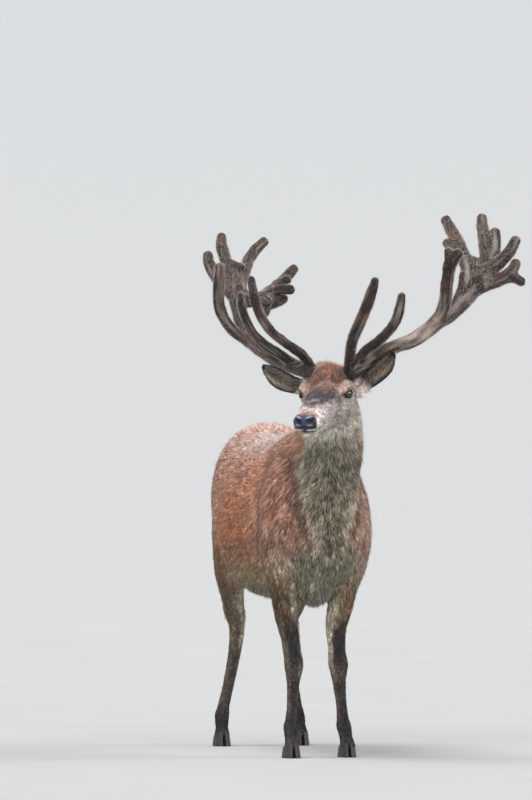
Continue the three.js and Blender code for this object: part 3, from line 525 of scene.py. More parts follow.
def part_distances(P):
    """Distance-like fields of head, neck, trunk, each leg, tail and ears."""
    D = {}
    D["trunk"] = trunk_field(P)
    for m in MUSCLES:
        join_ellipsoid(D["trunk"], P, m, mirrored=True)
    for m in MIDDLE:
        join_ellipsoid(D["trunk"], P, m[:8] + [60])
    D["neck"] = np.where(P[:, 1] < 0, limb_field(P, NECK_FINE, 8) - 3.0, FAR)
    for name in LEGS:
        D[name] = tube_field(P, LEG_TUBES[name]) - 0.8
    D["tail"] = tube_field(P, TAIL_TUBE, 60)
    L = to_head(P)
    D["head"] = np.full(len(P), FAR)
    i = np.nonzero((np.abs(L) < [200, 420, 240]).all(1))[0]
    D["head"][i] = head_field(L[i])
    D["ear"] = ear_fields(P)
    return D


def leg_thin(z):
    """1 low on a leg, 0 at its top."""
    return step(640, 470, z)


def coat_depth(P, D=None):
    """How deep the coat is: the skin lies this far inside the solids."""
    D = D or part_distances(P)
    y, z = P[:, 1], P[:, 2]
    L = to_head(P)
    trunk = np.full(len(P), 9.0) + 4.0 * step(700, 580, z) * step(-360, -300, y) * step(420, 330, y)
    chest = step(-380, -500, y) * step(560, 640, z)
    trunk = trunk + 8.0 * chest
    neck = np.full(len(P), 17.0)
    head = 3.0 + 2.5 * step(-60, 40, L[:, 1]) * step(40, 0, L[:, 2]) + 4.0 * step(-20, 60, L[:, 1]) * step(20, 60, L[:, 2])
    head = head + 3.0 * step(-60, -90, L[:, 2]) * step(-190, -80, L[:, 1])
    head = head - 2.2 * nose_weight(L)
    leg = 3.4 + 4.5 * step(480, 640, z) - 1.6 * step(80, 40, z)
    tail = np.full(len(P), 9.0)
    soft = 10.0
    w = {"trunk": np.exp(-np.maximum(D["trunk"], -60) / soft), "neck": np.exp(-np.maximum(D["neck"], -60) / soft),
         "head": 2.0 * np.exp(-np.maximum(D["head"], -60) / soft), "tail": np.exp(-np.maximum(D["tail"], -30) / soft)}
    legs = np.minimum.reduce([D[n] for n in LEGS])
    w["leg"] = np.exp(-np.maximum(legs, -60) / soft) * (0.15 + 1.2 * leg_thin(z))
    total = sum(w.values())
    return (trunk * w["trunk"] + neck * w["neck"] + head * w["head"] + tail * w["tail"] + leg * w["leg"]) / total


def flesh(P, D=None, detail=True, with_ears=True):
    """The skin's field: the solids joined softly, gone in by the coat's depth, with the relief of the face."""
    D = D or part_distances(P)
    y, z = P[:, 1], P[:, 2]
    d = D["trunk"].copy()
    for name in LEGS:
        d = smin(d, np.where((z < 900) & ((y < 0) == name.startswith("fore")), D[name], FAR), 40 if name.startswith("fore") else 78)
    d = smin(d, D["neck"], 50)
    d = smin(d, D["head"], 30)
    d = smin(d, D["tail"], 10)
    d = d + coat_depth(P, D)
    if detail:
        L = to_head(P)
        i = np.nonzero((np.abs(L[:, 0]) < 130) & (L[:, 1] > -330) & (L[:, 1] < 90) & (L[:, 2] > -130) & (L[:, 2] < 90))[0]
        if len(i):
            d[i] += head_detail(L[i])
            d[i] = eye_field(L[i], d[i])
        # legs: sinews behind the cannons, a hollow each side between them and the bone
        for name, rows in LEGS.items():
            fore = name.startswith("fore")
            j = np.nonzero((z < 420) & (z > 130) & (D[name] < 40))[0]
            if not len(j):
                continue
            r = np.array([[q[2], q[0], q[1]] for q in rows][::-1], float)
            cx, cy = np.interp(z[j], r[:, 0], r[:, 1]), np.interp(z[j], r[:, 0], r[:, 2])
            run = step(150, 190, z[j]) * step(330 if fore else 380, 300 if fore else 330, z[j])
            d[j] += 1.8 * run * np.exp(-((y[j] - cy - 9) / 5.0) ** 2) * (np.abs(P[j, 0] - cx) > 6)
    if with_ears:
        d = smin(d, D["ear"], 12)
    return d


def gradient(field, P, e=0.6):
    g = np.empty_like(P)
    for k in range(3):
        o = np.zeros(3)
        o[k] = e
        g[:, k] = (field(P + o) - field(P - o)) / (2 * e)
    return g


def settle(field, V, times=3, e=0.6, most=3.0):
    """Vertices moved onto the surface along the field's slope."""
    for _ in range(times):
        f = field(V)
        g = gradient(field, V, e)
        s = np.maximum((g * g).sum(1), 0.09)
        V = V - np.clip(f / np.sqrt(s), -most, most)[:, None] * g / np.sqrt(s)[:, None]
    return V


def mesh_of(field, lo, hi, h, block=8, slack=1.3):
    """Closed mesh of field = 0 in a box: coarse blocks first, fine values only in those near the surface."""
    lo, hi = np.array(lo, float), np.array(hi, float)
    nb = np.ceil((hi - lo) / (h * block)).astype(int)
    n = nb * block
    bi = np.stack(np.meshgrid(*[np.arange(k) for k in nb], indexing="ij"), -1).reshape(-1, 3)
    mid = lo + (bi + 0.5) * block * h - h / 2
    far = field(mid)
    near = np.abs(far) < slack * block * h
    dense = np.repeat(np.repeat(np.repeat(np.where(far > 0, FAR, -FAR).reshape(nb), block, 0), block, 1), block, 2).astype(np.float32)
    cell = np.stack(np.meshgrid(*[np.arange(block)] * 3, indexing="ij"), -1).reshape(-1, 3)
    which = bi[near]
    for part in np.array_split(which, max(1, len(which) * block ** 3 // 400000)):
        idx = (part[:, None, :] * block + cell[None]).reshape(-1, 3)
        dense[idx[:, 0], idx[:, 1], idx[:, 2]] = field(lo + idx * h)
    grid = openvdb.FloatGrid(FAR)
    grid.copyFromArray(np.ascontiguousarray(dense))
    points, quads = grid.convertToQuads(isovalue=0.0)
    V = lo + np.asarray(points, float) * h
    Q = np.asarray(quads, int)
    a, b = V[Q[:, 0]] - V[Q[:, 2]], V[Q[:, 1]] - V[Q[:, 3]]
    short = ((a * a).sum(1) <= (b * b).sum(1))
    T = np.concatenate([np.where(short[:, None], Q[:, [0, 1, 2]], Q[:, [0, 1, 3]]), np.where(short[:, None], Q[:, [0, 2, 3]], Q[:, [1, 2, 3]])])
    vol = np.einsum("ij,ij->i", V[T[:, 0]], np.cross(V[T[:, 1]], V[T[:, 2]])).sum() / 6
    if vol < 0:
        T = T[:, ::-1]
    return V, T


def compact(V, T):
    used = np.unique(T)
    new = np.full(len(V), -1)
    new[used] = np.arange(len(used))
    return V[used], new[T]


def largest_piece(V, T):
    """The largest connected piece of a mesh."""
    lab = np.arange(len(V))
    E = np.concatenate([T[:, [0, 1]], T[:, [1, 2]], T[:, [2, 0]]])
    while True:
        m = np.minimum(lab[E[:, 0]], lab[E[:, 1]])
        new = lab.copy()
        np.minimum.at(new, E[:, 0], m)
        np.minimum.at(new, E[:, 1], m)
        new = new[new]
        if (new == lab).all():
            break
        lab = new
    ids, counts = np.unique(lab[T[:, 0]], return_counts=True)
    keep = ids[np.argmax(counts)]
    return compact(V, T[lab[T[:, 0]] == keep]), len(ids)


def edges_of(T):
    E = np.sort(np.concatenate([T[:, [0, 1]], T[:, [1, 2]], T[:, [2, 0]]]), 1)
    return np.unique(E, axis=0)


def relax(field, V, T, times=3, fixed=None, part=0.5):
    """Vertices evened out along the surface, moved only along it."""
    E = edges_of(T)
    n = len(V)
    count = np.bincount(E.ravel(), minlength=n).astype(float)
    for _ in range(times):
        s = np.stack([np.bincount(E[:, 0], V[E[:, 1], k], n) + np.bincount(E[:, 1], V[E[:, 0], k], n) for k in range(3)], 1)
        move = s / np.maximum(count, 1)[:, None] - V
        N = vertex_normals(V, T)
        move -= (move * N).sum(1)[:, None] * N
        if fixed is not None:
            move[fixed] = 0
        V = V + part * move
    return V


def vertex_normals(V, T):
    f = np.cross(V[T[:, 1]] - V[T[:, 0]], V[T[:, 2]] - V[T[:, 0]])
    n = np.stack([sum(np.bincount(T[:, j], f[:, k], len(V)) for j in range(3)) for k in range(3)], 1)
    return norm_rows(n)


def refine(V, T, target):
    """Edges longer than their target split in two, once, with no gaps left."""
    E = np.sort(np.stack([T[:, [0, 1]], T[:, [1, 2]], T[:, [2, 0]]], 1).reshape(-1, 2), 1)
    U, back = np.unique(E, axis=0, return_inverse=True)
    back = back.reshape(-1, 3)
    mid = (V[U[:, 0]] + V[U[:, 1]]) / 2
    split = np.linalg.norm(V[U[:, 0]] - V[U[:, 1]], axis=1) > target(mid)
    if not split.any():
        return V, T, False
    # a triangle with two split edges is cut in three: one corner off, and the rest along its shorter diagonal
    new = np.full(len(U), -1)
    new[split] = len(V) + np.arange(split.sum())
    V2 = np.concatenate([V, mid[split]])
    m = new[back]
    code = (m >= 0) @ np.array([1, 2, 4])
    out = [T[code == 0]]
    t, q = T[code == 7], m[code == 7]
    out += [np.stack([t[:, 0], q[:, 0], q[:, 2]], 1), np.stack([t[:, 1], q[:, 1], q[:, 0]], 1), np.stack([t[:, 2], q[:, 2], q[:, 1]], 1), q]
    for c, k in ((1, 0), (2, 1), (4, 2)):
        t, q = T[code == c], m[code == c]
        a, b, o, x = t[:, k], t[:, (k + 1) % 3], t[:, (k + 2) % 3], q[:, k]
        out += [np.stack([a, x, o], 1), np.stack([x, b, o], 1)]
    for c, k in ((3, 0), (6, 1), (5, 2)):  # edges k and k+1 split
        t, q = T[code == c], m[code == c]
        a, b, o, x, y = t[:, k], t[:, (k + 1) % 3], t[:, (k + 2) % 3], q[:, k], q[:, (k + 1) % 3]
        short = np.linalg.norm(V2[a] - V2[y], axis=1) < np.linalg.norm(V2[x] - V2[o], axis=1)
        out += [np.stack([x, b, y], 1)]
        out += [np.where(short[:, None], np.stack([a, x, y], 1), np.stack([a, x, o], 1)), np.where(short[:, None], np.stack([a, y, o], 1), np.stack([x, y, o], 1))]
    return V2, np.concatenate(out), True


def border_loop(T):
    """The one open border of a mesh, in order, as it runs along its triangles."""
    D = np.concatenate([T[:, [0, 1]], T[:, [1, 2]], T[:, [2, 0]]])
    n = D.max() + 1
    keys, rev = D[:, 0] * n + D[:, 1], D[:, 1] * n + D[:, 0]
    open_ = D[~np.isin(keys, rev)]
    nxt = dict(open_)
    start = open_[0, 0]
    loop, seen = [start], {start}
    while nxt[loop[-1]] not in seen:
        loop.append(nxt[loop[-1]])
        seen.add(loop[-1])
    return np.array(loop), len(open_)


def zip_loops(V, A, B):
    """Triangles between two loops that run the same way round: greedy, always the shorter bridge."""
    ca = V[A].mean(0)
    start = np.argmin(np.linalg.norm(V[B] - V[A[0]], axis=1))
    B = np.roll(B, -start)
    i = j = 0
    na, nb = len(A), len(B)
    out = []
    while i < na or j < nb:
        a, b = A[i % na], B[j % nb]
        a2, b2 = A[(i + 1) % na], B[(j + 1) % nb]
        da = np.linalg.norm(V[a2] - V[b]) if i < na else 1e9
        db = np.linalg.norm(V[b2] - V[a]) if j < nb else 1e9
        if da <= db:
            out.append((a, b, a2))
            i += 1
        else:
            out.append((a, b, b2))
            j += 1
    return np.array(out)


JOIN_AT, JOIN_N = np.array([8, -600, 1245.0]), unit([-0.1, -0.6, 0.8])


def smooth_ears(V, T):
    """The thin rims of the ears evened out."""
    e = ear_fields(V, 10)
    i = np.nonzero(e < 2.5)[0]
    s = np.full(len(V), 0.0)
    for E in (EAR_RIGHT, EAR_LEFT):
        base, axis, ln, face, side = ear_frame(E)
        q = (V[i] - base) @ axis / ln
        near = np.linalg.norm(V[i] - base - np.clip(q, 0, 1)[:, None] * axis * ln, axis=1) < 60
        s[i] = np.maximum(s[i], step(0.25, 0.35, q) * near)
    U = edges_of(T)
    n = len(V)
    count = np.bincount(U.ravel(), minlength=n).astype(float)
    for k in range(14):
        m = np.stack([np.bincount(U[:, 0], V[U[:, 1], j], n) + np.bincount(U[:, 1], V[U[:, 0], j], n) for j in range(3)], 1) / np.maximum(count, 1)[:, None] - V
        V = V + (0.5 * s)[:, None] * m
    return V


def make_skin():
    h_body, h_head = ((9.2, 3.2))
    body = lambda P: flesh(P, detail=True, with_ears=False)
    full = lambda P: flesh(P)
    V1, T1 = mesh_of(body, [-290, -1060, 26], [290, 780, 1460], h_body)
    V1 = settle(body, relax(body, settle(body, V1, 2), T1, 2), 2)
    say("body", len(V1), len(T1))
    V2, T2 = mesh_of(full, [-262, -1060, 1080], [215, -440, 1480], h_head)
    V2 = settle(full, V2, 2)
    say("head", len(V2), len(T2))
    side1, side2 = (V1 - JOIN_AT) @ JOIN_N, (V2 - JOIN_AT) @ JOIN_N
    V1, T1 = compact(V1, T1[(side1[T1] < -h_body * 0.55).all(1)])
    V2, T2 = compact(V2, T2[(side2[T2] > 0).all(1)])
    (V1, T1), n1 = largest_piece(V1, T1)
    (V2, T2), n2 = largest_piece(V2, T2)
    A, na = border_loop(T1)
    B, nb = border_loop(T2)
    say("join", n1, n2, "loops", len(A), na, len(B), nb)
    B = B[::-1]  # the other side runs the other way round
    V = np.concatenate([V1, V2])
    B = B + len(V1)
    Z = zip_loops(V, A, B)
    T = np.concatenate([T1, T2 + len(V1)])
    D = {tuple(e) for e in np.concatenate([T1[:, [0, 1]], T1[:, [1, 2]], T1[:, [2, 0]]]).tolist()}
    # the bridge must use each border edge the other way round
    for z in Z:
        pairs = [(z[0], z[1]), (z[1], z[2]), (z[2], z[0])]
        if any((int(p), int(q)) in D for p, q in pairs):
            Z = Z[:, ::-1]
            break
    T = np.concatenate([T, Z])
    near = np.abs((V - JOIN_AT) @ JOIN_N) < 30
    for _ in range(3):
        V = relax(full, V, T, 2, fixed=~near, part=0.6)
        V[near] = settle(full, V[near], 1)
    # finer at the eyes, nose and mouth
    def target(P):
        L = to_head(P)
        M = np.stack([np.abs(L[:, 0]), L[:, 1], L[:, 2]], 1)
        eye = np.linalg.norm(M - (EYE_C + 16 * EYE_OUT), axis=1)
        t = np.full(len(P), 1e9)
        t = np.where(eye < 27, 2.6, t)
        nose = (L[:, 1] < -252) & (L[:, 2] > -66) & (L[:, 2] < 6)
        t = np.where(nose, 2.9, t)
        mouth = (np.abs(L[:, 2] - mouth_line(L[:, 1])) < 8) & (L[:, 1] < -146)
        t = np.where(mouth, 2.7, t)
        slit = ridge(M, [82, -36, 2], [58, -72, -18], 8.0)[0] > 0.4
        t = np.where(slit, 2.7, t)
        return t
    for _ in range(2):
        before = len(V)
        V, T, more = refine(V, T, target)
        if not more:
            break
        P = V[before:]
        V[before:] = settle(full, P, 2, e=0.4)
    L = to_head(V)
    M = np.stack([np.abs(L[:, 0]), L[:, 1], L[:, 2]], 1)
    face = (np.linalg.norm(M - (EYE_C + 16 * EYE_OUT), axis=1) < 30) | ((L[:, 1] < -245) & (L[:, 2] > -70)) | ((np.abs(L[:, 2] - mouth_line(L[:, 1])) < 9) & (L[:, 1] < -140))
    for _ in range(2):
        V = relax(full, V, T, 1, fixed=~face, part=0.5)
        V[face] = settle(full, V[face], 2, e=0.4)
    V = smooth_ears(V, T)
    E = np.concatenate([T[:, [0, 1]], T[:, [1, 2]], T[:, [2, 0]]])
    n = E.max() + 1
    keys = E[:, 0] * n + E[:, 1]
    closed = len(np.unique(keys)) == len(keys) and np.isin(E[:, 1] * n + E[:, 0], keys).all()
    say("skin", len(V), "points", len(T), "triangles, closed", bool(closed))
    return V, T


# ------------------------------------------------------------------ antlers in velvet
ANTLER_RIGHT = {
    "beam": [[-40, -678, 1340, 27], [-63, -663, 1366, 27], [-112, -617, 1389, 25], [-150, -566, 1405, 23.5], [-192, -498, 1433, 22], [-230, -434, 1466, 20], [-254, -377, 1506, 20], [-265, -323, 1564, 20], [-268, -268, 1626, 21], [-267, -228, 1680, 23], [-265, -200, 1716, 20]],
    "brow": [[-74, -655, 1380, 18], [-86, -662, 1404, 17], [-119, -680, 1440, 16], [-176, -692, 1477, 15.5], [-229, -694, 1519, 15], [-263, -696, 1567, 14.5], [-286, -699, 1619, 14], [-299, -701, 1669, 12.5], [-302, -701, 1703, 10]],
    "bez": [[-135, -595, 1400, 17], [-150, -608, 1418, 16], [-189, -618, 1444, 15.5], [-238, -611, 1477, 15], [-275, -606, 1514, 14], [-301, -601, 1561, 13.5], [-316, -598, 1610, 12.5], [-318, -597, 1648, 10.5]],
    "trez": [[-248, -398, 1486, 17], [-291, -378, 1515, 16], [-325, -366, 1556, 15.5], [-347, -361, 1610, 15], [-352, -367, 1678, 14], [-348, -378, 1750, 11.5]],
    "crown_front": [[-265, -204, 1700, 18], [-271, -167, 1750, 17], [-281, -125, 1797, 15.5], [-285, -93, 1837, 14.5], [-282, -78, 1864, 12]],
    "crown_middle": [[-246, -218, 1676, 18], [-220, -175, 1732, 17], [-198, -135, 1776, 15], [-162, -105, 1820, 14], [-130, -95, 1850, 11]],
    "crown_outer": [[-272, -232, 1655, 18], [-306, -192, 1695, 16], [-329, -154, 1739, 15], [-341, -135, 1775, 13.5], [-341, -123, 1798, 11.5]],
    "crown_inner": [[-258, -258, 1634, 20], [-200, -240, 1637, 19], [-151, -218, 1650, 18], [-93, -189, 1692, 16], [-55, -176, 1729, 14], [-36, -171, 1750, 11.5]],
    "crown_inner_side": [[-130, -204, 1666, 14], [-94, -229, 1675, 13], [-68, -258, 1675, 11]],
    "snag_a": [[-100, -200, 1690, 12], [-72, -222, 1709, 10.5]],
    "snag_b": [[-176, -232, 1641, 13], [-150, -258, 1630, 11]],
    "low": [[-176, -232, 1622, 15], [-140, -222, 1622, 14.5], [-105, -210, 1631, 14], [-84, -212, 1642, 12]],
    "low_knob": [[-172, -238, 1618, 13], [-155, -242, 1594, 11]],
}
RIGHT_WEBS = [[[-265, -214, 1690], [-271, -172, 1738], [-230, -190, 1716], 13], [[-265, -214, 1690], [-246, -222, 1668], [-230, -190, 1716], 14], [[-271, -172, 1738], [-268, -240, 1650], [-306, -192, 1695], 11],
              [[-267, -250, 1640], [-205, -238, 1640], [-240, -215, 1682], 13],
              [[-268, -190, 1720], [-266, -166, 1770], [-232, -180, 1756], 12.5],
              [[-276, -146, 1776], [-238, -162, 1748], [-246, -205, 1690], 13], [[-204, -146, 1764], [-238, -162, 1748], [-246, -205, 1690], 13]]
ANTLER_LEFT = {
    "beam": [[24, -716, 1340, 27], [43, -723, 1366, 27], [82, -739, 1393, 27], [114, -743, 1413, 25], [161, -743, 1446, 23.5], [203, -749, 1464, 22.5], [265, -752, 1486, 23.5], [311, -755, 1515, 24.5], [358, -755, 1549, 25], [404, -748, 1579, 26], [447, -733, 1616, 28], [489, -712, 1658, 29], [529, -696, 1698, 27]],
    "brow": [[46, -728, 1382, 19], [43, -743, 1400, 18], [37, -784, 1446, 18], [36, -825, 1488, 18], [46, -867, 1535, 18], [64, -901, 1590, 17.5], [76, -933, 1642, 16.5], [88, -950, 1693, 12]],
    "bez": [[76, -730, 1398, 18], [80, -764, 1428, 17], [91, -794, 1451, 17], [120, -836, 1479, 16.5], [151, -874, 1514, 16], [174, -900, 1555, 15.5], [186, -917, 1600, 14.5], [190, -925, 1641, 11]],
    "trez": [[340, -750, 1536, 18], [369, -773, 1581, 17], [380, -792, 1631, 16.5], [381, -811, 1684, 16], [384, -824, 1733, 15.5], [387, -833, 1772, 14.5], [383, -836, 1799, 11.5]],
    "trez_fork": [[387, -830, 1748, 13], [402, -848, 1780, 12], [411, -860, 1793, 10.5]],
    "crown_inner": [[450, -732, 1628, 21], [482, -696, 1686, 20], [491, -666, 1733, 19], [490, -623, 1783, 18], [482, -571, 1834, 17], [466, -507, 1891, 15], [456, -483, 1921, 12]],
    "crown_inner_side": [[480, -606, 1792, 14], [458, -567, 1815, 13], [445, -546, 1838, 11]],
    "crown_middle": [[520, -698, 1686, 23], [551, -668, 1736, 20], [566, -635, 1783, 18], [573, -592, 1838, 17], [575, -546, 1893, 15], [578, -524, 1928, 12]],
    "crown_back": [[568, -656, 1748, 15], [599, -620, 1798, 15], [609, -597, 1842, 14], [610, -586, 1875, 12]],
    "crown_outer": [[534, -700, 1700, 23], [573, -682, 1740, 19], [612, -671, 1772, 17], [646, -662, 1806, 15.5], [670, -653, 1845, 12.5]],
    "crown_low": [[528, -702, 1688, 23], [576, -701, 1697, 18], [614, -708, 1713, 17], [642, -713, 1736, 15.5], [656, -710, 1762, 12]],
    "crown_low_fork": [[628, -714, 1718, 14], [651, -724, 1709, 12.5], [670, -730, 1698, 11]],
    "snag": [[572, -596, 1826, 13], [590, -590, 1852, 10]],
    "crown_end": [[506, -674, 1712, 18], [514, -652, 1744, 18], [520, -632, 1766, 16.5]],
}
LEFT_WEBS = [[[447, -733, 1621], [529, -696, 1698], [489, -690, 1700], 14], [[529, -696, 1698], [551, -668, 1736], [489, -676, 1722], 13], [[529, -696, 1690], [566, -690, 1728], [590, -703, 1704], 13],
             [[551, -668, 1736], [529, -690, 1698], [582, -680, 1748], 12],
             [[489, -700, 1680], [498, -668, 1742], [540, -674, 1740], 13.5],
             [[447, -730, 1628], [470, -690, 1720], [492, -672, 1716], 14]]


def spline(points, every=9.0):
    """A tine's stations joined by a smooth centripetal curve, about `every` millimetres apart."""
    p = np.array(points, float)
    q = np.concatenate([2 * p[:1] - p[1:2], p, 2 * p[-1:] - p[-2:-1]])
    q[0, 3], q[-1, 3] = p[0, 3], p[-1, 3]
    out = []
    for i in range(1, len(q) - 2):
        a, b, c, d = q[i - 1], q[i], q[i + 1], q[i + 2]
        t0 = 0.0
        t1 = t0 + np.linalg.norm(b[:3] - a[:3]) ** 0.5
        t2 = t1 + np.linalg.norm(c[:3] - b[:3]) ** 0.5
        t3 = t2 + np.linalg.norm(d[:3] - c[:3]) ** 0.5
        n = max(2, int(round(np.linalg.norm(c[:3] - b[:3]) / every)))
        for t in t1 + (t2 - t1) * np.arange(n) / n:
            A1, A2, A3 = (t1 - t) / (t1 - t0) * a + (t - t0) / (t1 - t0) * b, (t2 - t) / (t2 - t1) * b + (t - t1) / (t2 - t1) * c, (t3 - t) / (t3 - t2) * c + (t - t2) / (t3 - t2) * d
            B1, B2 = (t2 - t) / (t2 - t0) * A1 + (t - t0) / (t2 - t0) * A2, (t3 - t) / (t3 - t1) * A2 + (t - t1) / (t3 - t1) * A3
            out.append((t2 - t) / (t2 - t1) * B1 + (t - t1) / (t2 - t1) * B2)
    out.append(q[-2])
    return np.array(out)


def tine_field(P, S, grow=0.0):
    """Distance to a chain of round-ended tapered pieces, and the place along it (mm) and the direction there."""
    d = np.full(len(P), FAR)
    along = np.zeros(len(P))
    way = np.zeros((len(P), 3))
    run = np.concatenate([[0], np.cumsum(np.linalg.norm(np.diff(S[:, :3], axis=0), axis=1))])
    lo, hi = S[:, :3].min(0), S[:, :3].max(0)
    i = inside(P, lo, hi, 75)
    if not len(i):
        return d, along, way
    Q = P[i]
    dd, aa, ww = np.full(len(Q), FAR), np.zeros(len(Q)), np.zeros((len(Q), 3))
    for k in range(len(S) - 1):
        a, b = S[k], S[k + 1]
        near = inside(Q, np.minimum(a[:3], b[:3]), np.maximum(a[:3], b[:3]), 62)
        if not len(near):
            continue
        w = b[:3] - a[:3]
        q = Q[near] - a[:3]
        t = np.clip(q @ w / (w @ w), 0, 1)
        r = np.linalg.norm(q - t[:, None] * w, axis=1) - (a[3] + t * (b[3] - a[3]))
        less = r < dd[near]
        j = near[less]
        dd[j] = r[less]
        aa[j] = run[k] + t[less] * (run[k + 1] - run[k])
        ww[j] = w / np.linalg.norm(w)
    d[i], along[i], way[i] = dd, aa, ww
    return d, along, way


def plate_field(P, a, b, c, r):
    """Distance to a triangle thickened by r."""
    a, b, c = (np.array(v, float) for v in (a, b, c))
    d = np.full(len(P), FAR)
    i = inside(P, np.minimum(np.minimum(a, b), c), np.maximum(np.maximum(a, b), c), 60)
    if not len(i):
        return d
    Q = P[i]
    n = np.cross(b - a, c - a)
    area = n @ n
    q = Q - a
    u = np.einsum("ij,j->i", np.cross(q, c - a), n) / area
    v = np.einsum("ij,j->i", np.cross(b - a, q), n) / area
    inn = (u >= 0) & (v >= 0) & (u + v <= 1)
    flat = np.abs(q @ n) / math.sqrt(area)

    def seg(p0, p1):
        w = p1 - p0
        t = np.clip((Q - p0) @ w / (w @ w), 0, 1)
        return np.linalg.norm(Q - p0 - t[:, None] * w, axis=1)
    e = np.minimum.reduce([seg(a, b), seg(b, c), seg(c, a)])
    d[i] = np.where(inn, flat, e) - r
    return d


def lattice(P, size, seed):
    """Smooth noise in -1..1 from a lattice of random values."""
    rng = np.random.default_rng(seed)
    n = 64
    g = rng.uniform(-1, 1, (n, n, n)).astype(np.float32)
    q = P / size
    i = np.floor(q).astype(int)
    f = q - i
    f = f * f * (3 - 2 * f)
    i %= n
    j = (i + 1) % n
    x, y, z = f.T
    c = [[[g[(i, j)[a][:, 0], (i, j)[b][:, 1], (i, j)[e][:, 2]] for e in (0, 1)] for b in (0, 1)] for a in (0, 1)]
    c0 = (c[0][0][0] * (1 - z) + c[0][0][1] * z) * (1 - y) + (c[0][1][0] * (1 - z) + c[0][1][1] * z) * y
    c1 = (c[1][0][0] * (1 - z) + c[1][0][1] * z) * (1 - y) + (c[1][1][0] * (1 - z) + c[1][1][1] * z) * y
    return c0 * (1 - x) + c1 * x


def antler_field_of(table, webs, seed, inset=-1.6):
    stations = {}
    for n, p in table.items():
        S = spline(p)
        if n != "beam":
            # soft velvet stands out round the tines, most on the crowns
            S[:, 3] += (4.6 if n.startswith(("crown", "trez", "snag", "low")) else 1.6) * np.clip((S[:, 2] - 1480) / 120, 0.0, 1)
        stations[n] = S

    def field(P, whole=False):
        d = np.full(len(P), FAR)
        best, along, way = np.full(len(P), FAR), np.zeros(len(P)), np.zeros((len(P), 3))
        for n, S in stations.items():
            e, a, w = tine_field(P, S)
            closer = e < best
            best = np.where(closer, e, best)
            along, way = np.where(closer, a, along), np.where(closer[:, None], w, way)
            d = smin(d, e, 15)
        for a, b, c, r in webs:
            d = smin(d, plate_field(P, a, b, c, r - 1.0), 12)
        near = np.nonzero(np.abs(d) < 30)[0]
        if len(near):
            Q = P[near]
            W = norm_rows(way[near] + 1e-6)
            # long shallow furrows: noise that is stretched along the tine
            q = Q - 0.86 * (Q * W).sum(1)[:, None] * W
            d[near] += 1.5 * lattice(Q, 26, seed) + 1.2 * lattice(q, 9, seed + 1) + 0.4 * lattice(Q, 6, seed + 2)
        d = d + inset
        return (d, along, way) if whole else d
    return field


def make_antler(table, webs, seed):
    field = antler_field_of(table, webs, seed)
    pts = np.concatenate([np.array(p)[:, :3] for p in table.values()])
    h = 3.7
    V, T = mesh_of(field, pts.min(0) - 36, pts.max(0) + 36, h, slack=1.4)
    V = settle(field, V, 2, e=1.0)
    V = relax(field, V, T, 2)
    V = settle(field, V, 1, e=1.0)
    (V, T), n = largest_piece(V, T)
    say("antler", len(T), "triangles", n, "pieces")
    return V, T, field


# ------------------------------------------------------------------ hooves
CLAW = {"length": 84, "width": 32, "heel": 30, "toe": 50, "apart": 2.4}
CLAW_OUTLINE = [[0, 0.0, 0.5], [0.14, 0.0, 0.92], [0.46, 0.0, 1.0], [0.82, 0.03, 0.66], [1, 0.14, 0.24]]
FEET = {"foreleg_right": (-110, -482, -1, -109, -455), "foreleg_left": (101, -448, 1, 99, -421), "hindleg_right": (-148, 560, -1, -146, 587), "hindleg_left": (152, 572, 1, 150, 599)}


def make_claw(x0, y0, sign):
    """One claw: a smooth lofted shell of horn with a worn sole, growth rings and a rounded toe."""
    around, up = 44, 22
    s = np.linspace(0, 1, around // 2)
    s = 0.5 - 0.5 * np.cos(np.pi * s)
    o = hermite_table(CLAW_OUTLINE, s)
    ring_s = np.concatenate([s, s[::-1]])
    ring_w = np.concatenate([o[:, 1], np.maximum(o[::-1, 0], 0.0) + 0.02])
    rows = []
    for k in range(up):
        v = k / (up - 1)
        top = v
        lift = (CLAW["toe"] - CLAW["heel"]) * np.minimum(1, ring_s * 1.2)
        z = v * (CLAW["heel"] + lift) * 1.02 + 0.0
        scale = 1.0 - 0.16 * v ** 1.4
        back = 1 - 0.20 * v
        y = y0 + CLAW["length"] * 0.42 - CLAW["length"] * ring_s * back - 1.0 * v
        w = CLAW["width"] * ring_w * scale
        if k == 0:
            w, y = w * 0.94 + 0.6, y0 + (y - y0) * 0.975
            z = np.zeros_like(z)
        ringed = 0.35 * np.sin(v * 34) * (v > 0.12)
        w = w + ringed * (ring_w > 0.1)
        y = y - ringed * ring_s
        x = CLAW["apart"] / 2 + w
        rows.append(np.stack([x0 + sign * x, y, z], 1))
    V = np.concatenate(rows)
    n = around
    T = []
    for k in range(up - 1):
        for j in range(n):
            a, b = k * n + j, k * n + (j + 1) % n
            T += [(a, b, b + n), (a, b + n, a + n)]
    for base, flip in ((0, True), ((up - 1) * n, False)):
        h = n // 2
        for j in range(h - 1):
            a, b, c, d = base + j, base + j + 1, base + n - 2 - j, base + n - 1 - j
            for t in ((a, b, c), (a, c, d)):
                if len(set(t)) == 3:
                    T.append(t[::-1] if flip else t)
    T = np.array(T)
    vol = np.einsum("ij,ij->i", V[T[:, 0]], np.cross(V[T[:, 1]], V[T[:, 2]])).sum()
    if vol < 0:
        T = T[:, ::-1]
    return V, T


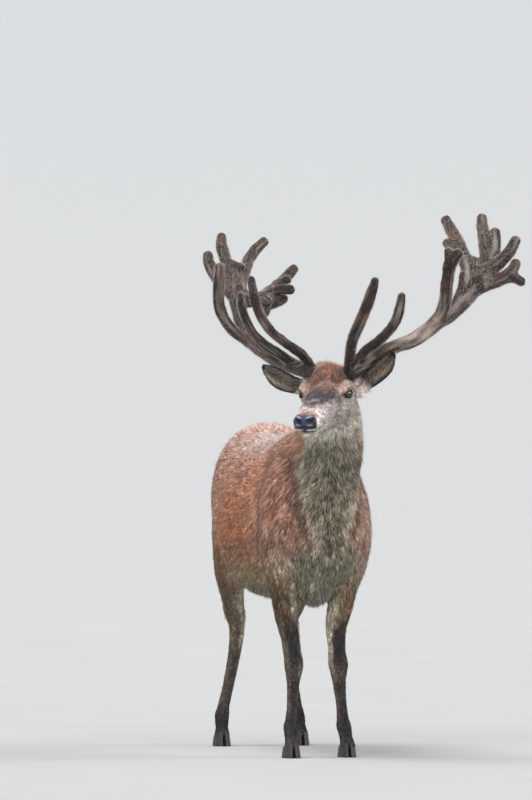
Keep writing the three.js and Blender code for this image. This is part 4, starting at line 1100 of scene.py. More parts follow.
def make_dewclaw(x, y, z):
    """A blunt cone of horn behind the pastern."""
    around, up = 18, 10
    V, T = [], []
    for k in range(up + 1):
        t = math.pi * k / up
        r = math.sin(t) ** 0.8 if 0 < k < up else 0.0
        for j in range(around):
            a = 2 * math.pi * j / around
            V.append([8.2 * r * math.cos(a), 9.6 * r * math.sin(a), 16.5 * math.cos(t) + (0.4 * math.sin(9 * t))])
    V = np.array(V)
    V = V @ np.array(Matrix.Rotation(-0.5, 3, "X")).T + [x, y, z]
    for k in range(up):
        for j in range(around):
            a, b = k * around + j, k * around + (j + 1) % around
            if k:
                T.append((a, a + around, b))
            if k < up - 1:
                T.append((b, a + around, b + around))
    T = np.array(T)
    # one point at each end
    T = np.where(T < around, 0, T)
    T = np.where(T >= up * around, up * around, T)
    T = T[(T[:, 0] != T[:, 1]) & (T[:, 1] != T[:, 2]) & (T[:, 0] != T[:, 2])]
    V, T = compact(V, T)
    vol = np.einsum("ij,ij->i", V[T[:, 0]] - V.mean(0), np.cross(V[T[:, 1]] - V.mean(0), V[T[:, 2]] - V.mean(0))).sum()
    return V, (T if vol > 0 else T[:, ::-1])


# ------------------------------------------------------------------ eyes
def make_eye(sign):
    """A ball with a bulging cornea, turned the way the eye looks; its own frame has the pupil on +z."""
    c = EYE_C * [sign, 1, 1]
    out, p, q = EYE_OUT * [sign, 1, 1], EYE_P * [sign, 1, 1], EYE_Q * [sign, 1, 1]
    around, up = 64, 48
    V, T = [], []
    for k in range(up + 1):
        t = math.pi * k / up
        for j in range(around):
            a = 2 * math.pi * j / around
            bulge = 1.0 + 0.055 * math.exp(-(t / 0.42) ** 2)
            r = EYE_R * bulge
            V.append([r * math.sin(t) * math.cos(a), r * math.sin(t) * math.sin(a), r * math.cos(t)])
    V = np.array(V)
    for k in range(up):
        for j in range(around):
            a, b = k * around + j, k * around + (j + 1) % around
            if k:
                T.append((a, a + around, b))
            if k < up - 1:
                T.append((b, a + around, b + around))
    T = np.array(T)
    T = np.where(T < around, 0, T)
    T = np.where(T >= up * around, up * around, T)
    T = T[(T[:, 0] != T[:, 1]) & (T[:, 1] != T[:, 2]) & (T[:, 0] != T[:, 2])]
    local, T = compact(V, T)
    B = np.stack([p, q, out], 1)  # columns
    W = from_head(local @ B.T + c)
    vol = np.einsum("ij,ij->i", W[T[:, 0]] - W.mean(0), np.cross(W[T[:, 1]] - W.mean(0), W[T[:, 2]] - W.mean(0))).sum()
    return W, (T if vol > 0 else T[:, ::-1]), local


# ------------------------------------------------------------------ colours of the coat with painted sheen, highlights and shade, one function for skin and tufts
def srgb(*c):
    c = np.array(c, float) / 255
    return np.where(c <= 0.04045, c / 12.92, ((c + 0.055) / 1.055) ** 2.4)


RUST, RUST_PALE, ORANGE = srgb(190, 121, 92), srgb(232, 192, 180), srgb(200, 126, 78)
GREY_BROWN, GRIZZLE, CREAM = srgb(202, 150, 130), srgb(142, 136, 118), srgb(220, 208, 184)
BELLY, DARK, BUFF = srgb(158, 146, 108), srgb(62, 52, 50), srgb(206, 166, 118)
FACE, FACE_DARK, FACE_PINK = srgb(224, 211, 208), srgb(40, 37, 46), srgb(226, 204, 200)
FOREHEAD, LEG, LEG_DARK, LEG_INNER = srgb(100, 50, 26), srgb(118, 104, 84), srgb(16, 19, 32), srgb(192, 180, 160)
NOSE, LIP, BLACK, EAR_OUT = srgb(21, 31, 52), srgb(178, 174, 160), srgb(20, 18, 18), srgb(92, 80, 70)


def mix(a, b, w):
    return a * (1 - w[:, None]) + b * w[:, None]


def shares(D):
    """How much each part owns a point, adding to 1."""
    soft = 14.0
    legs = np.minimum.reduce([D[n] for n in LEGS])
    w = {k: np.exp(-np.clip(D[k], -90, 200) / soft) for k in ("trunk", "neck", "head", "tail")}
    w["leg"] = np.exp(-np.clip(legs, -90, 200) / soft)
    w["head"] = w["head"] * 1.6
    total = sum(w.values())
    return {k: v / total for k, v in w.items()}


def neck_turn(P, N):
    """From -1 at the throat to +1 at the nape."""
    return N @ unit([0, 0.80, 0.60])


def bib_weight(P, N):
    """1 on the grey front of the neck's foot and the chest, which is narrower than the shoulders."""
    x, y, z = P.T
    mid = np.interp(z, [600, 710, 795, 886, 940, 995, 1080, 1250], [-2, 0, 2, -2, 8, 28, 27, 20])
    half = np.interp(z, [560, 600, 710, 756, 795, 886, 954, 1000, 1080, 1150, 1210, 1300], [80, 106, 112, 86, 68, 86, 100, 110, 113, 124, 180, 260])
    soft = np.interp(z, [700, 790, 900, 1000], [34, 26, 16, 11])
    fine = lattice(P, 26, 6)
    back = np.interp(z, [640, 760, 930, 1100, 1345], [-330, -380, -405, -490, -610])
    return step(half + soft, half - soft, np.abs(x - mid) + 12 * fine) * step(back + 30, back - 50, y + 18 * fine) * step(-0.45, 0.0, -N[:, 1])


def markings_and_painted_light(P, N, D):
    """The coat's colour at points of the skin, with painted sheen, highlights and shade in places, in linear light, and
    where it is naked and wet.
    """
    W = shares(D)
    x, y, z = P.T
    nx, ny, nz = N.T
    L = to_head(P)
    NL = N @ HEAD_R
    ax = np.abs(L[:, 0])
    blot, fine, tiny = lattice(P, 70, 3), lattice(P, 22, 4), lattice(P, 8, 5)
    # strands that run down the neck and chest, and along the trunk
    run = lattice(P * [1, 1, 0.32], 8, 41) + 0.75 * lattice(P * [1, 1, 0.32], 4.8, 43)
    flow = lattice(P * [1, 0.36, 0.7], 7, 42) + 0.75 * lattice(P * [1, 0.36, 0.7], 4.4, 45)
    # trunk
    c = np.tile(RUST, (len(P), 1))
    c = mix(c, ORANGE, np.clip(0.40 + 0.6 * blot + 0.25 * fine, 0, 1) * step(0.8, 0.1, nz))
    # painted sheen: paler on the up-facing top of the trunk behind the shoulders
    c = mix(c, RUST_PALE, 0.45 * step(0.30, 0.85, nz + 0.14 * fine) * step(-300, -120, y))
    # painted highlight: a pinkish-white patch on the up-facing middle of the back
    c = mix(c, np.array([0.92, 0.66, 0.61]), 0.80 * step(0.62, 0.92, nz + 0.12 * fine) * step(-230, -120, y) * step(330, 170, y))
    c = mix(c, DARK, 0.30 * np.exp(-((x - np.interp(y, [-400, 0, 600], [5, -12, 0])) / 14) ** 2) * (nz > 0.4))
    c = mix(c, srgb(174, 104, 58), 0.52 * step(1010, 860, z) * step(700, 780, z + 0 * y) * step(-300, -200, y) * step(520, 380, y))
    low = step(735, 610, z + 26 * fine + 14 * blot) * step(-330, -250, y) * step(430, 330, y)
    c = mix(c, srgb(128, 108, 72), 0.6 * step(800, 700, z + 20 * fine) * step(-330, -250, y) * step(430, 330, y))
    c = mix(c, BELLY, 0.85 * low * step(0.35, -0.1, nz))
    # painted shade: darker on the down-facing underside of the belly
    c = mix(c, DARK, 0.45 * step(-0.55, -0.9, nz) * step(700, 640, z))
    c = mix(c, GREY_BROWN, 0.80 * step(-150, -330, y + 30 * blot))
    c = mix(c, srgb(180, 156, 136), 0.55 * step(-380, -460, y) * step(900, 700, z))
    c = mix(c, srgb(92, 58, 52), 0.34 * step(-150, -300, y) * np.clip(0.3 + blot, 0, 1) * step(0.5, 0.0, nz))
    c = mix(c, srgb(210, 192, 166), 0.66 * step(790, 640, z + 20 * fine) * step(-260, -380, y))
    # painted shade and highlight on the right flank only: a dark band at the rear edge of the shoulder and a pale
    # orange band on the barrel behind it
    yf = np.interp(z, [680, 754, 850, 936, 1005, 1067], [-350, -290, -285, -257, -247, -237])
    side = step(-0.15, -0.55, nx) * step(650, 720, z) * step(1120, 1040, z)
    c = mix(c, DARK, 0.52 * np.exp(-((y - yf + 26 + 12 * fine) / 34) ** 2) * side)
    c = mix(c, srgb(214, 150, 108), 0.34 * np.exp(-((y - yf - 60) / 46) ** 2) * side)
    # painted sheen: the upper haunch and rump paler pinkish
    c = mix(c, RUST_PALE, 0.36 * step(200, 420, y) * step(700, 800, z))
    bib = np.maximum(bib_weight(P, N), step(640, 600, z) * step(-280, -400, y))
    # painted shade in the crease between the foot of the neck and the right shoulder
    edge = np.interp(z, [600, 702, 795, 886, 1026, 1100], [-106, -110, -64, -88, -84, -86])
    crease_shade = np.exp(-((x - edge + 10) / 15) ** 2) * step(780, 880, z) * step(1150, 1090, z) * (y < -300)
    c = mix(c, DARK, 0.45 * crease_shade)
    c = mix(c, DARK, 0.30 * np.clip(0.2 + 1.1 * fine, 0, 1) * step(-330, -420, y) * step(-0.2, 0.3, -ny))
    # painted sheen: paler pinkish on the left shoulder only
    c = mix(c, RUST_PALE, 0.26 * step(70, 130, x) * step(-280, -400, y) * step(620, 740, z))
    c = mix(c, GRIZZLE, bib)
    # rump: a buff patch round the tail with a darker edge
    r = np.sqrt((x / 105) ** 2 + ((z - 1010) / 130) ** 2 + ((y - 700) / 150) ** 2) + 0.12 * fine
    c = mix(c, DARK, 0.30 * np.exp(-((r - 1.12) / 0.16) ** 2) * (y > 500))
    c = mix(c, srgb(238, 208, 172), 0.88 * step(1.05, 0.85, r))
    # painted shadow of the tail: a dark strip down each side of it on the rump patch
    c = mix(c, DARK, 0.55 * np.exp(-((np.abs(x) - 34) / 12) ** 2) * step(1.05, 0.85, r) * (z < 1045))
    inner = step(0.35, 0.85, -nx * np.sign(x)) * step(760, 680, z) * (y > 300)
    c = mix(c, LEG_INNER, 0.6 * inner)
    # neck
    t = neck_turn(P, N)
    n = np.tile(GRIZZLE, (len(P), 1))
    n = mix(n, CREAM, np.clip(0.20 + 0.20 * fine + 0.72 * step(1080, 1240, z), 0, 1))
    n = mix(n, srgb(206, 190, 176), 0.55 * step(1150, 1250, z))
    n = mix(n, srgb(176, 134, 108), 0.55 * step(0.25, 0.8, nx) * step(-1.0, -0.4, t))
    n = mix(n, srgb(186, 132, 100), 0.80 * step(0.05, 0.65, t + 0.15 * fine))
    n = mix(n, DARK, 0.34 * np.clip(blot * 1.6 - 0.2, 0, 1))
    n = mix(n, mix(np.tile(RUST, (len(P), 1)), DARK, 0.38 * np.clip(0.2 + 1.1 * fine, 0, 1)), (1 - bib) * step(1240, 1160, z) * 0.95)
    # painted shade in the same crease between the neck and the right shoulder
    n = mix(n, DARK, 0.45 * crease_shade)
    n = mix(n, srgb(128, 74, 48), 0.85 * step(1300, 1350, z) * step(0.0, 0.6, t))
    # painted light and shade that draw the column at the neck's foot: pale highlight lines along the edges of its V,
    # painted shade outside them and down its middle
    vl, vr = np.interp(z, [756, 886, 1010], [-34, -76, -76]), np.interp(z, [756, 886, 940, 1010], [46, 80, 100, 124])
    band = step(730, 800, z) * step(1090, 1010, z) * step(-380, -440, y)
    crest = (np.exp(-((x - vl) / 11) ** 2) + np.exp(-((x - vr) / 11) ** 2)) * band
    hollow = (np.exp(-((x - vl + 26) / 18) ** 2) + np.exp(-((x - vr - 26) / 18) ** 2)) * band
    c, n = mix(c, DARK, np.clip(0.45 * hollow, 0, 1)), mix(n, DARK, np.clip(0.45 * hollow, 0, 1))
    well_shade = np.exp(-((x - np.interp(z, [760, 900, 1050], [4, 4, 26])) / 44) ** 2) * step(720, 770, z) * step(1130, 1020, z) * (y < -380)
    c, n = mix(c, DARK, 0.50 * well_shade), mix(n, DARK, 0.50 * well_shade)
    c, n = mix(c, CREAM, np.clip(0.52 * crest, 0, 1)), mix(n, CREAM, np.clip(0.52 * crest, 0, 1))
    # painted highlight: a pale line along the right edge of the neck's column, higher up
    n = mix(n, CREAM, 0.45 * np.exp(-((x + 76) / 12) ** 2) * step(1000, 1060, z) * step(1180, 1120, z) * step(-430, -480, y))
    streak = 0.06 + 0.92 * run * step(-300, -420, y) + 0.74 * flow * step(-420, -300, y)
    c = c * np.exp(streak)[:, None]
    n = n * np.exp(1.06 * run - 0.12 + 0.74 * step(1090, 1170, z) * step(0.5, -0.1, t) - 0.10 * step(1150, 1050, z))[:, None]
    # legs
    g = np.tile(LEG, (len(P), 1))
    ahead = -ny + 0.16 * nx + 0.10 * fine
    outer = step(0.1, 0.7, nx * np.sign(x))
    inn = step(0.10, 0.60, -nx * np.sign(x))
    back = step(0.3, 0.8, ny)
    fore = y < 0
    # painted shade: the upper legs darker on the right side than on the left
    g = mix(g, np.where(x[:, None] < 0, srgb(112, 88, 68), srgb(132, 104, 80)), np.where(fore, 0.80, 0.15) * step(400, 560, z) * np.where(fore, 1 - 0.8 * inn, outer))
    g = mix(g, np.tile(srgb(88, 77, 71), (len(P), 1)), step(440, 300, z) * 0.80)
    g = mix(g, np.tile(LEG_INNER, (len(P), 1)), inn * (0.70 * step(250, 420, z) + 0.10))
    g = mix(g, np.tile(LEG_INNER, (len(P), 1)), np.where(fore, 0, 0.45 * step(420, 560, z) * step(0.2, 0.8, -ny)))
    g = mix(g, LEG_DARK, np.where(fore, 0.90 * step(0.50, 0.78, ahead) * step(545, 430, z + 34 * fine) * (1 - 0.55 * np.exp(-((z - 305) / 34) ** 2)), 0.45 * step(0.5, 0.9, ahead) * step(420, 330, z)))
    g = mix(g, DARK, np.where(fore, 0.6 * np.exp(-(((z - 352) / 12) ** 2)) * step(0.6, 0.9, -ny), 0))
    g = mix(g, srgb(74, 64, 62), 0.50 * step(300, 200, z) * np.where(fore, 1.0, 0.75))
    g = mix(g, RUST, 0.25 * back * step(400, 520, z) * (~fore))
    g = mix(g, DARK, 0.85 * (~fore) * back * step(520, 470, z) * step(400, 440, z))
    g = mix(g, DARK, 0.45 * (~fore) * np.exp(-(((z - 420) / 14) ** 2)) * step(0.3, 0.8, -ny))
    g = mix(g, BUFF, 0.25 * back * step(330, 300, z) * step(150, 190, z))
    g = mix(g, LEG_DARK, np.where(fore, 0.60, 0.72) * step(190, 110, z))
    # the last term is painted shade: the right foreleg darker from the knee up
    g = g * np.exp(0.40 * tiny + 0.52 * run - np.where(fore & (x < 0), 0.22, 0) * step(300, 420, z))[:, None]
    # tail
    q = np.tile(srgb(196, 138, 92), (len(P), 1))
    q = mix(q, DARK, 0.55 * np.exp(-(x / 9) ** 2) * (ny > 0.3))
    q = mix(q, CREAM, 0.5 * step(0.45, 0.9, np.abs(nx)))
    # head
    h = np.tile(FACE, (len(P), 1))
    up = step(0.1, 0.7, NL[:, 2])
    h = mix(h, srgb(184, 166, 158), 0.45 * step(-120, -40, L[:, 1]) * step(20, 60, ax))
    h = mix(h, FACE_PINK, 0.80 * step(0.95, 0.35, NL[:, 2] + 0.3 * fine) * step(-96, -126, L[:, 1] + 10 * fine) * step(-44, -30, L[:, 2]))
    h = mix(h, srgb(172, 144, 132), 0.55 * up * step(-100, -140, L[:, 1]) * step(40, 24, ax))
    h = mix(h, CREAM, 0.40 * step(-50, -80, L[:, 2]))
    brow = step(-46, -14, L[:, 1] + 10 * fine) * step(6, 30, L[:, 2] - 0.05 * L[:, 1] + 8 * fine)
    h = mix(h, FOREHEAD * (1 - 0.30 * step(-10, 40, L[:, 1]))[:, None], 0.95 * brow * step(78, 60, ax - 0.35 * np.clip(L[:, 1], 0, 60)))
    h = mix(h, srgb(168, 104, 66), 0.50 * brow * np.clip(0.15 + 1.7 * tiny, 0, 1))
    h = mix(h, srgb(172, 126, 102), 0.76 * np.exp(-(((ax - 76) / 18) ** 2 + ((L[:, 1] + 22) / 32) ** 2 + ((L[:, 2] - 32) / 15) ** 2)))
    h = mix(h, srgb(50, 32, 24), 0.65 * brow * np.clip(1.8 * fine + 1.2 * tiny - 0.4, 0, 1))
    mott = 0.8 * fine + 0.6 * tiny
    between = step(-210, -145, L[:, 1] + 26 * fine + 22 * blot) * step(-34, -68, L[:, 1] + 24 * fine) * step(72, 42, ax + 12 * fine + 0.30 * (-70 - L[:, 1]) * (L[:, 1] < -70)) * step(-0.1, 0.4, NL[:, 2])
    h = mix(h, FACE_DARK, 0.94 * np.clip(between * (1.42 + 0.9 * mott), 0, 1))
    h = mix(h, srgb(128, 124, 138), 0.28 * between * np.clip(2.0 * tiny - 0.5, 0, 1))
    h = mix(h, srgb(120, 80, 60), 0.80 * step(-80, -56, L[:, 1]) * step(-12, -34, L[:, 1]) * step(60, 40, ax) * step(0.0, 0.5, NL[:, 2]))
    h = mix(h, FACE_DARK, 0.75 * np.exp(-(((ax - 66) / 13) ** 2 + ((L[:, 1] + 54) / 24) ** 2 + ((L[:, 2] + 2) / 18) ** 2)))
    h = mix(h, FACE_DARK, 0.58 * np.clip(2.4 * tiny + 0.9 * fine - 0.2, 0, 1) * step(-205, -120, L[:, 1]) * step(20, -20, L[:, 1]))
    h = mix(h, FACE_DARK, 0.36 * np.clip(1.8 * fine + tiny, 0, 1) * step(-220, -150, L[:, 1]) * step(-50, -110, L[:, 1]) * up)
    h = mix(h, srgb(86, 72, 66), 0.36 * np.clip(2.0 * fine + tiny - 0.1, 0, 1) * step(0, -40, L[:, 2]) * step(-150, -90, L[:, 1]))
    top = step(-222, -244, L[:, 1] + 6 * fine) * step(0.1, 0.6, NL[:, 2]) * step(48, 36, ax)
    h = mix(h, srgb(126, 88, 72), 0.80 * top)
    h = mix(h, LIP, 0.75 * step(-215, -240, L[:, 1]) * step(-34, -42, L[:, 2]) * step(26, 34, ax))
    h = mix(h, LIP, 0.85 * step(-64, -70, L[:, 2]) * step(-180, -205, L[:, 1]))
    h = mix(h, GREY_BROWN, 0.45 * step(60, 110, L[:, 1]) * step(20, 50, ax))
    h = h * np.exp(0.66 * tiny + 0.50 * lattice(P, 4.5, 46))[:, None]
    h = mix(h, srgb(120, 68, 44), 0.60 * step(30, 60, L[:, 1]) * step(20, 40, L[:, 2]) * step(70, 50, ax))
    M = np.stack([ax, L[:, 1], L[:, 2]], 1)
    e = M - EYE_C
    eo, ep, eu = e @ EYE_OUT, e @ EYE_P, e @ EYE_Q
    near = (eo > 0) & (np.linalg.norm(e, axis=1) < 60)
    lid = np.sqrt(((ep + 2) / 27.5) ** 2 + (eu / 17.6) ** 2)
    ring = np.exp(-((np.sqrt((ep / 30) ** 2 + ((eu + 3) / 23) ** 2) - 1.12) / 0.22) ** 2) * (eu < 4)
    h = mix(h, srgb(196, 168, 144), 0.75 * ring * near)
    h = mix(h, srgb(150, 92, 58), 0.65 * near * np.exp(-(((ep - 4) / 20) ** 2 + ((eu - 21) / 5) ** 2)))
    h = mix(h, srgb(70, 50, 40), 0.5 * near * np.exp(-(((ep) / 24) ** 2 + ((eu - 17) / 4.5) ** 2)))
    h = mix(h, BLACK, step(1.02, 0.82, lid) * near)
    h = mix(h, BLACK, 0.9 * near * np.exp(-(((ep + 24) / 12) ** 2 + ((eu + 2) / 6) ** 2)))
    slit, _ = ridge(M, [82, -36, 2], [58, -72, -18], 4.0)
    h = mix(h, BLACK, 0.85 * slit)
    # painted shade: a black line in the mouth slit
    mouth = np.exp(-((L[:, 2] - mouth_line(L[:, 1])) / 3.4) ** 2) * step(-146, -165, L[:, 1])
    h = mix(h, BLACK, 0.94 * mouth)
    wet = nose_weight(L) * W["head"]
    h = mix(h, NOSE, wet)
    # painted highlights on the wet nose pad: pale blue lines along its upper rim, down its middle and along its lower
    # edge
    shine = np.maximum(ridge(M, [10, -284, -3], [36, -266, 3], 3.6)[0], 0.8 * ridge(M, [3, -290, -8], [3, -290, -30], 3.2)[0])
    shine = np.maximum(shine, 0.7 * ridge(M, [12, -288, -30], [30, -278, -30], 3.4)[0])
    h = mix(h, srgb(150, 172, 198), np.clip(1.0 * shine ** 1.2 * wet, 0, 1))
    # painted shade: black in the nostrils' holes and slits
    hole = np.maximum(ridge(M, [17, -285, -17], [23, -280, -21], 5.4)[0], 0.9 * ridge(M, [25, -281, -20], [39, -268, -8], 3.0)[0])
    h = mix(h, BLACK, np.clip(1.3 * hole, 0, 1))
    out = c * W["trunk"][:, None] + n * W["neck"][:, None] + g * W["leg"][:, None] + q * W["tail"][:, None] + h * W["head"][:, None]
    # ears
    for E in (EAR_RIGHT, EAR_LEFT):
        b, tt = np.array(E["base"], float), np.array(E["tip"], float)
        i = inside(P, np.minimum(b, tt) - 45, np.maximum(b, tt) + 45, 10)
        if not len(i):
            continue
        s, a, dep, f = ear_at(P[i], E)
        own = step(5.0, 1.5, f) * step(0.06, 0.2, s)
        o = np.tile(EAR_OUT, (len(i), 1))
        o = mix(o, FOREHEAD, 0.25 * step(0.4, 0.1, s))
        # the open face of the ear darker than its back, with dark blots: partly the ear's own colour, partly painted
        # shade in its hollow
        u = np.tile(srgb(70, 63, 53), (len(i), 1))
        u = mix(u, srgb(98, 62, 44), 0.85 * np.exp(-(((s - 0.52) / 0.19) ** 2 + ((a - 0.10) / 0.34) ** 2)))
        u = mix(u, srgb(30, 26, 26), 0.85 * np.clip(0.15 + 1.2 * lattice(P[i], 13, 44), 0, 1))
        u = mix(u, srgb(176, 166, 142), 0.55 * np.exp(-((np.abs(a) - 0.52) / 0.14) ** 2) * step(0.2, 0.35, s))
        u = mix(u, LEG_DARK, 0.7 * step(0.66, 0.9, s))
        o = mix(o, u, step(-1.0, 1.0, dep) * 1.0)
        rim = np.maximum(step(0.70, 0.82, np.abs(a)), step(0.84, 0.93, s)) * step(0.14, 0.26, s)
        o = mix(o, BLACK, 0.95 * rim)
        out[i] = mix(out[i], o, own)
    return np.maximum(out, 0.002), wet


# ------------------------------------------------------------------ meshes
def mesh_object(name, V, T, material=None, smooth=True, colour=None, wet=None, uv=None):
    me = bpy.data.meshes.new(name)
    me.vertices.add(len(V))
    me.vertices.foreach_set("co", ((V - CENTRE) / 1000).astype(np.float32).ravel())
    me.loops.add(T.size)
    me.loops.foreach_set("vertex_index", np.ascontiguousarray(T, dtype=np.int32).ravel())
    me.polygons.add(len(T))
    me.polygons.foreach_set("loop_start", np.arange(0, T.size, 3, dtype=np.int32))
    me.polygons.foreach_set("use_smooth", np.full(len(T), smooth))
    if colour is not None:
        a = me.attributes.new("Tint", "FLOAT_COLOR", "POINT")
        a.data.foreach_set("color", np.concatenate([np.clip(colour, 0, 1), np.ones((len(colour), 1))], 1).astype(np.float32).ravel())
    if wet is not None:
        a = me.attributes.new("Wet", "FLOAT", "POINT")
        a.data.foreach_set("value", wet.astype(np.float32))
    if uv is not None:
        layer = me.uv_layers.new(name="OFBake")
        layer.data.foreach_set("uv", uv[T.ravel()].astype(np.float32).ravel())
    me.update(calc_edges=True)
    ob = bpy.data.objects.new(name, me)
    bpy.context.scene.collection.objects.link(ob)
    if material:
        me.materials.append(material)
    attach(ob, "root")
    return ob


LOCK = {  # part of the length, part of the width, part of the height, for each row; the tip is one point
    "lock": ([0.0, 0.42], [0.72, 1.0], [-0.06, 0.62]),
    "spike": ([0.0], [1.0], [-0.10]),
}


def build_tufts(name, kind, R, N, D, length, width, lift, colour, uv, material, rng, bend=0.0):
    """One piece of solid tufts: R roots, N normals, D directions; each is a closed, flattened, tapering lock."""
    n = len(R)
    B = np.cross(N, D)
    ss, ww, hh = LOCK[kind]
    rows = len(ss)
    per = 3 * rows + 1
    V = np.empty((n, per, 3))
    C = np.empty((n, per, 3))
    U = np.empty((n, per, 2))
    side = rng.normal(0, 1, n) * bend
    thick = 0.34 * width
    for r in range(rows):
        c = R + D * (ss[r] * length)[:, None] + N * (hh[r] * lift - (0.6 if r == 0 else 0))[:, None] + B * (side * ss[r] ** 2 * length)[:, None]
        w = width * ww[r] / 2
        V[:, 3 * r] = c - B * w[:, None]
        V[:, 3 * r + 1] = c + B * w[:, None]
        V[:, 3 * r + 2] = c + N * (thick * ww[r])[:, None]
        for k in range(3):
            C[:, 3 * r + k] = colour * (0.74 + 0.34 * ss[r] + (0.05 if k == 2 else 0))
        U[:, 3 * r] = uv + [-0.0013, -0.0013 + 0.0026 * ss[r]]
        U[:, 3 * r + 1] = uv + [0.0013, -0.0013 + 0.0026 * ss[r]]
        U[:, 3 * r + 2] = uv + [0.0, -0.0013 + 0.0026 * ss[r]]
    V[:, -1] = R + D * length[:, None] + N * lift[:, None] + B * (side * length)[:, None]
    C[:, -1] = colour * 1.16
    U[:, -1] = uv + [0.0, 0.0014]
    if kind == "spike":
        U[:, 2] = uv + [0.0, -0.0004]
    t = [(0, 2, 1)]
    for r in range(rows - 1):
        a, b = 3 * r, 3 * r + 3
        for i, j in ((0, 1), (1, 2), (2, 0)):
            t += [(a + i, a + j, b + j), (a + i, b + j, b + i)]
    a, tip = 3 * (rows - 1), per - 1
    t += [(a, a + 1, tip), (a + 1, a + 2, tip), (a + 2, a, tip)]
    T = (np.array(t)[None] + (np.arange(n) * per)[:, None, None]).reshape(-1, 3)
    V = V.reshape(-1, 3)
    # the whole must face outwards
    k = T[:len(t)]
    m = V[:per].mean(0)
    if np.einsum("ij,ij->i", V[k[:, 0]] - m, np.cross(V[k[:, 1]] - m, V[k[:, 2]] - m)).sum() < 0:
        T = T[:, ::-1]
    return mesh_object(name, V, T, material, True, C.reshape(-1, 3), None, U.reshape(-1, 2)), len(T)


def scatter(V, T, normals, density, rng):
    """Points on a mesh, as many in each place as density (per mm2) asks, spread evenly along the triangles' order."""
    a, b, c = V[T[:, 0]], V[T[:, 1]], V[T[:, 2]]
    area = np.linalg.norm(np.cross(b - a, c - a), axis=1) / 2
    d = density[T].mean(1) if len(density) == len(V) else density
    cum = np.cumsum(area * d)
    n = int(cum[-1])
    pick = np.searchsorted(cum, (np.arange(n) + rng.uniform(0, 1, n)) / n * cum[-1])
    pick = np.minimum(pick, len(T) - 1)
    u, v = rng.uniform(0, 1, (2, n))
    over = u + v > 1
    u[over], v[over] = 1 - u[over], 1 - v[over]
    w = 1 - u - v
    P = a[pick] * w[:, None] + b[pick] * u[:, None] + c[pick] * v[:, None]
    N = norm_rows(normals[T[pick, 0]] * w[:, None] + normals[T[pick, 1]] * u[:, None] + normals[T[pick, 2]] * v[:, None])
    return P, N


def order_along(V, T, cell=14.0):
    """Triangles sorted so that neighbours in the list are neighbours on the body."""
    m = V[T].mean(1)
    q = np.floor((m - m.min(0)) / cell).astype(np.int64)
    key = np.zeros(len(T), np.int64)
    for bit in range(9):
        for k in range(3):
            key |= ((q[:, k] >> bit) & 1) << (3 * bit + k)
    return T[np.argsort(key, kind="stable")]


def lie(P, N, D, rng, jitter=0.20):
    """The way the hair lies at points of the skin."""
    W = shares(D)
    x, y, z = P.T
    sx = np.sign(x)
    front, rear = step(-150, -380, y), step(330, 560, y)
    t = np.stack([0.10 * sx * front, 1 - 0.72 * front - 0.35 * rear, -(0.32 + 0.75 * front + 0.65 * rear)], 1)
    t[:, 2] -= 0.25 * step(0.5, -0.1, N[:, 2])
    n = np.tile([0.04, 0.50, -0.86], (len(P), 1))
    n[:, 0] += 0.18 * np.sign(N[:, 0]) * step(0.2, 0.7, np.abs(N[:, 0]))
    g = np.tile([0, 0.12, -1.0], (len(P), 1))
    q = np.tile([0, 0.25, -1.0], (len(P), 1))
    L = to_head(P)
    hl = np.stack([0.10 * np.sign(L[:, 0]), np.ones(len(P)), -0.12 - 0.35 * step(-10, -60, L[:, 2]) + 0.25 * step(10, 40, L[:, 2]) * step(-40, 30, L[:, 1])], 1)
    crown = step(30, 75, L[:, 1]) * step(30, 55, L[:, 2])
    hl[:, 1] -= 0.8 * crown
    hl[:, 2] += 0.5 * crown
    h = hl @ HEAD_R.T
    d = t * W["trunk"][:, None] + n * W["neck"][:, None] + g * W["leg"][:, None] + q * W["tail"][:, None] + h * W["head"][:, None]
    for E in (EAR_RIGHT, EAR_LEFT):
        b, tt = np.array(E["base"], float), np.array(E["tip"], float)
        i = inside(P, np.minimum(b, tt) - 45, np.maximum(b, tt) + 45, 10)
        if len(i):
            base, axis, ln, face, side = ear_frame(E)
            s, a, dep, f = ear_at(P[i], E)
            own = step(5.0, 1.5, f) * step(0.04, 0.18, s)
            w = axis + 0.55 * np.clip(a, -1, 1)[:, None] * side
            d[i] = d[i] * (1 - own)[:, None] + w * own[:, None]
    d = d + 0.22 * np.stack([lattice(P, 38, 21), lattice(P, 38, 22), lattice(P, 38, 23)], 1)
    d = norm_rows(d) + rng.normal(0, jitter, (len(P), 3))
    d = d - (d * N).sum(1)[:, None] * N
    return norm_rows(d)


# ------------------------------------------------------------------ the coat
def ear_own(P):
    """How much each point belongs to an ear, which ear it is, whether it lies on the ear's open face, and where along
    and across it stands.
    """
    n = len(P)
    own, s_, a_, which, hollow = np.zeros(n), np.zeros(n), np.zeros(n), np.zeros(n, int), np.zeros(n)
    for k, E in enumerate((EAR_RIGHT, EAR_LEFT)):
        b, t = np.array(E["base"], float), np.array(E["tip"], float)
        i = inside(P, np.minimum(b, t) - 45, np.maximum(b, t) + 45, 10)
        if len(i):
            s, a, dep, f = ear_at(P[i], E)
            w = step(6.0, 2.0, f) * step(0.06, 0.20, s)
            more = w > own[i]
            j = i[more]
            own[j], s_[j], a_[j], which[j], hollow[j] = w[more], s[more], a[more], k, np.sign(dep[more])
    return own, s_, a_, which, hollow


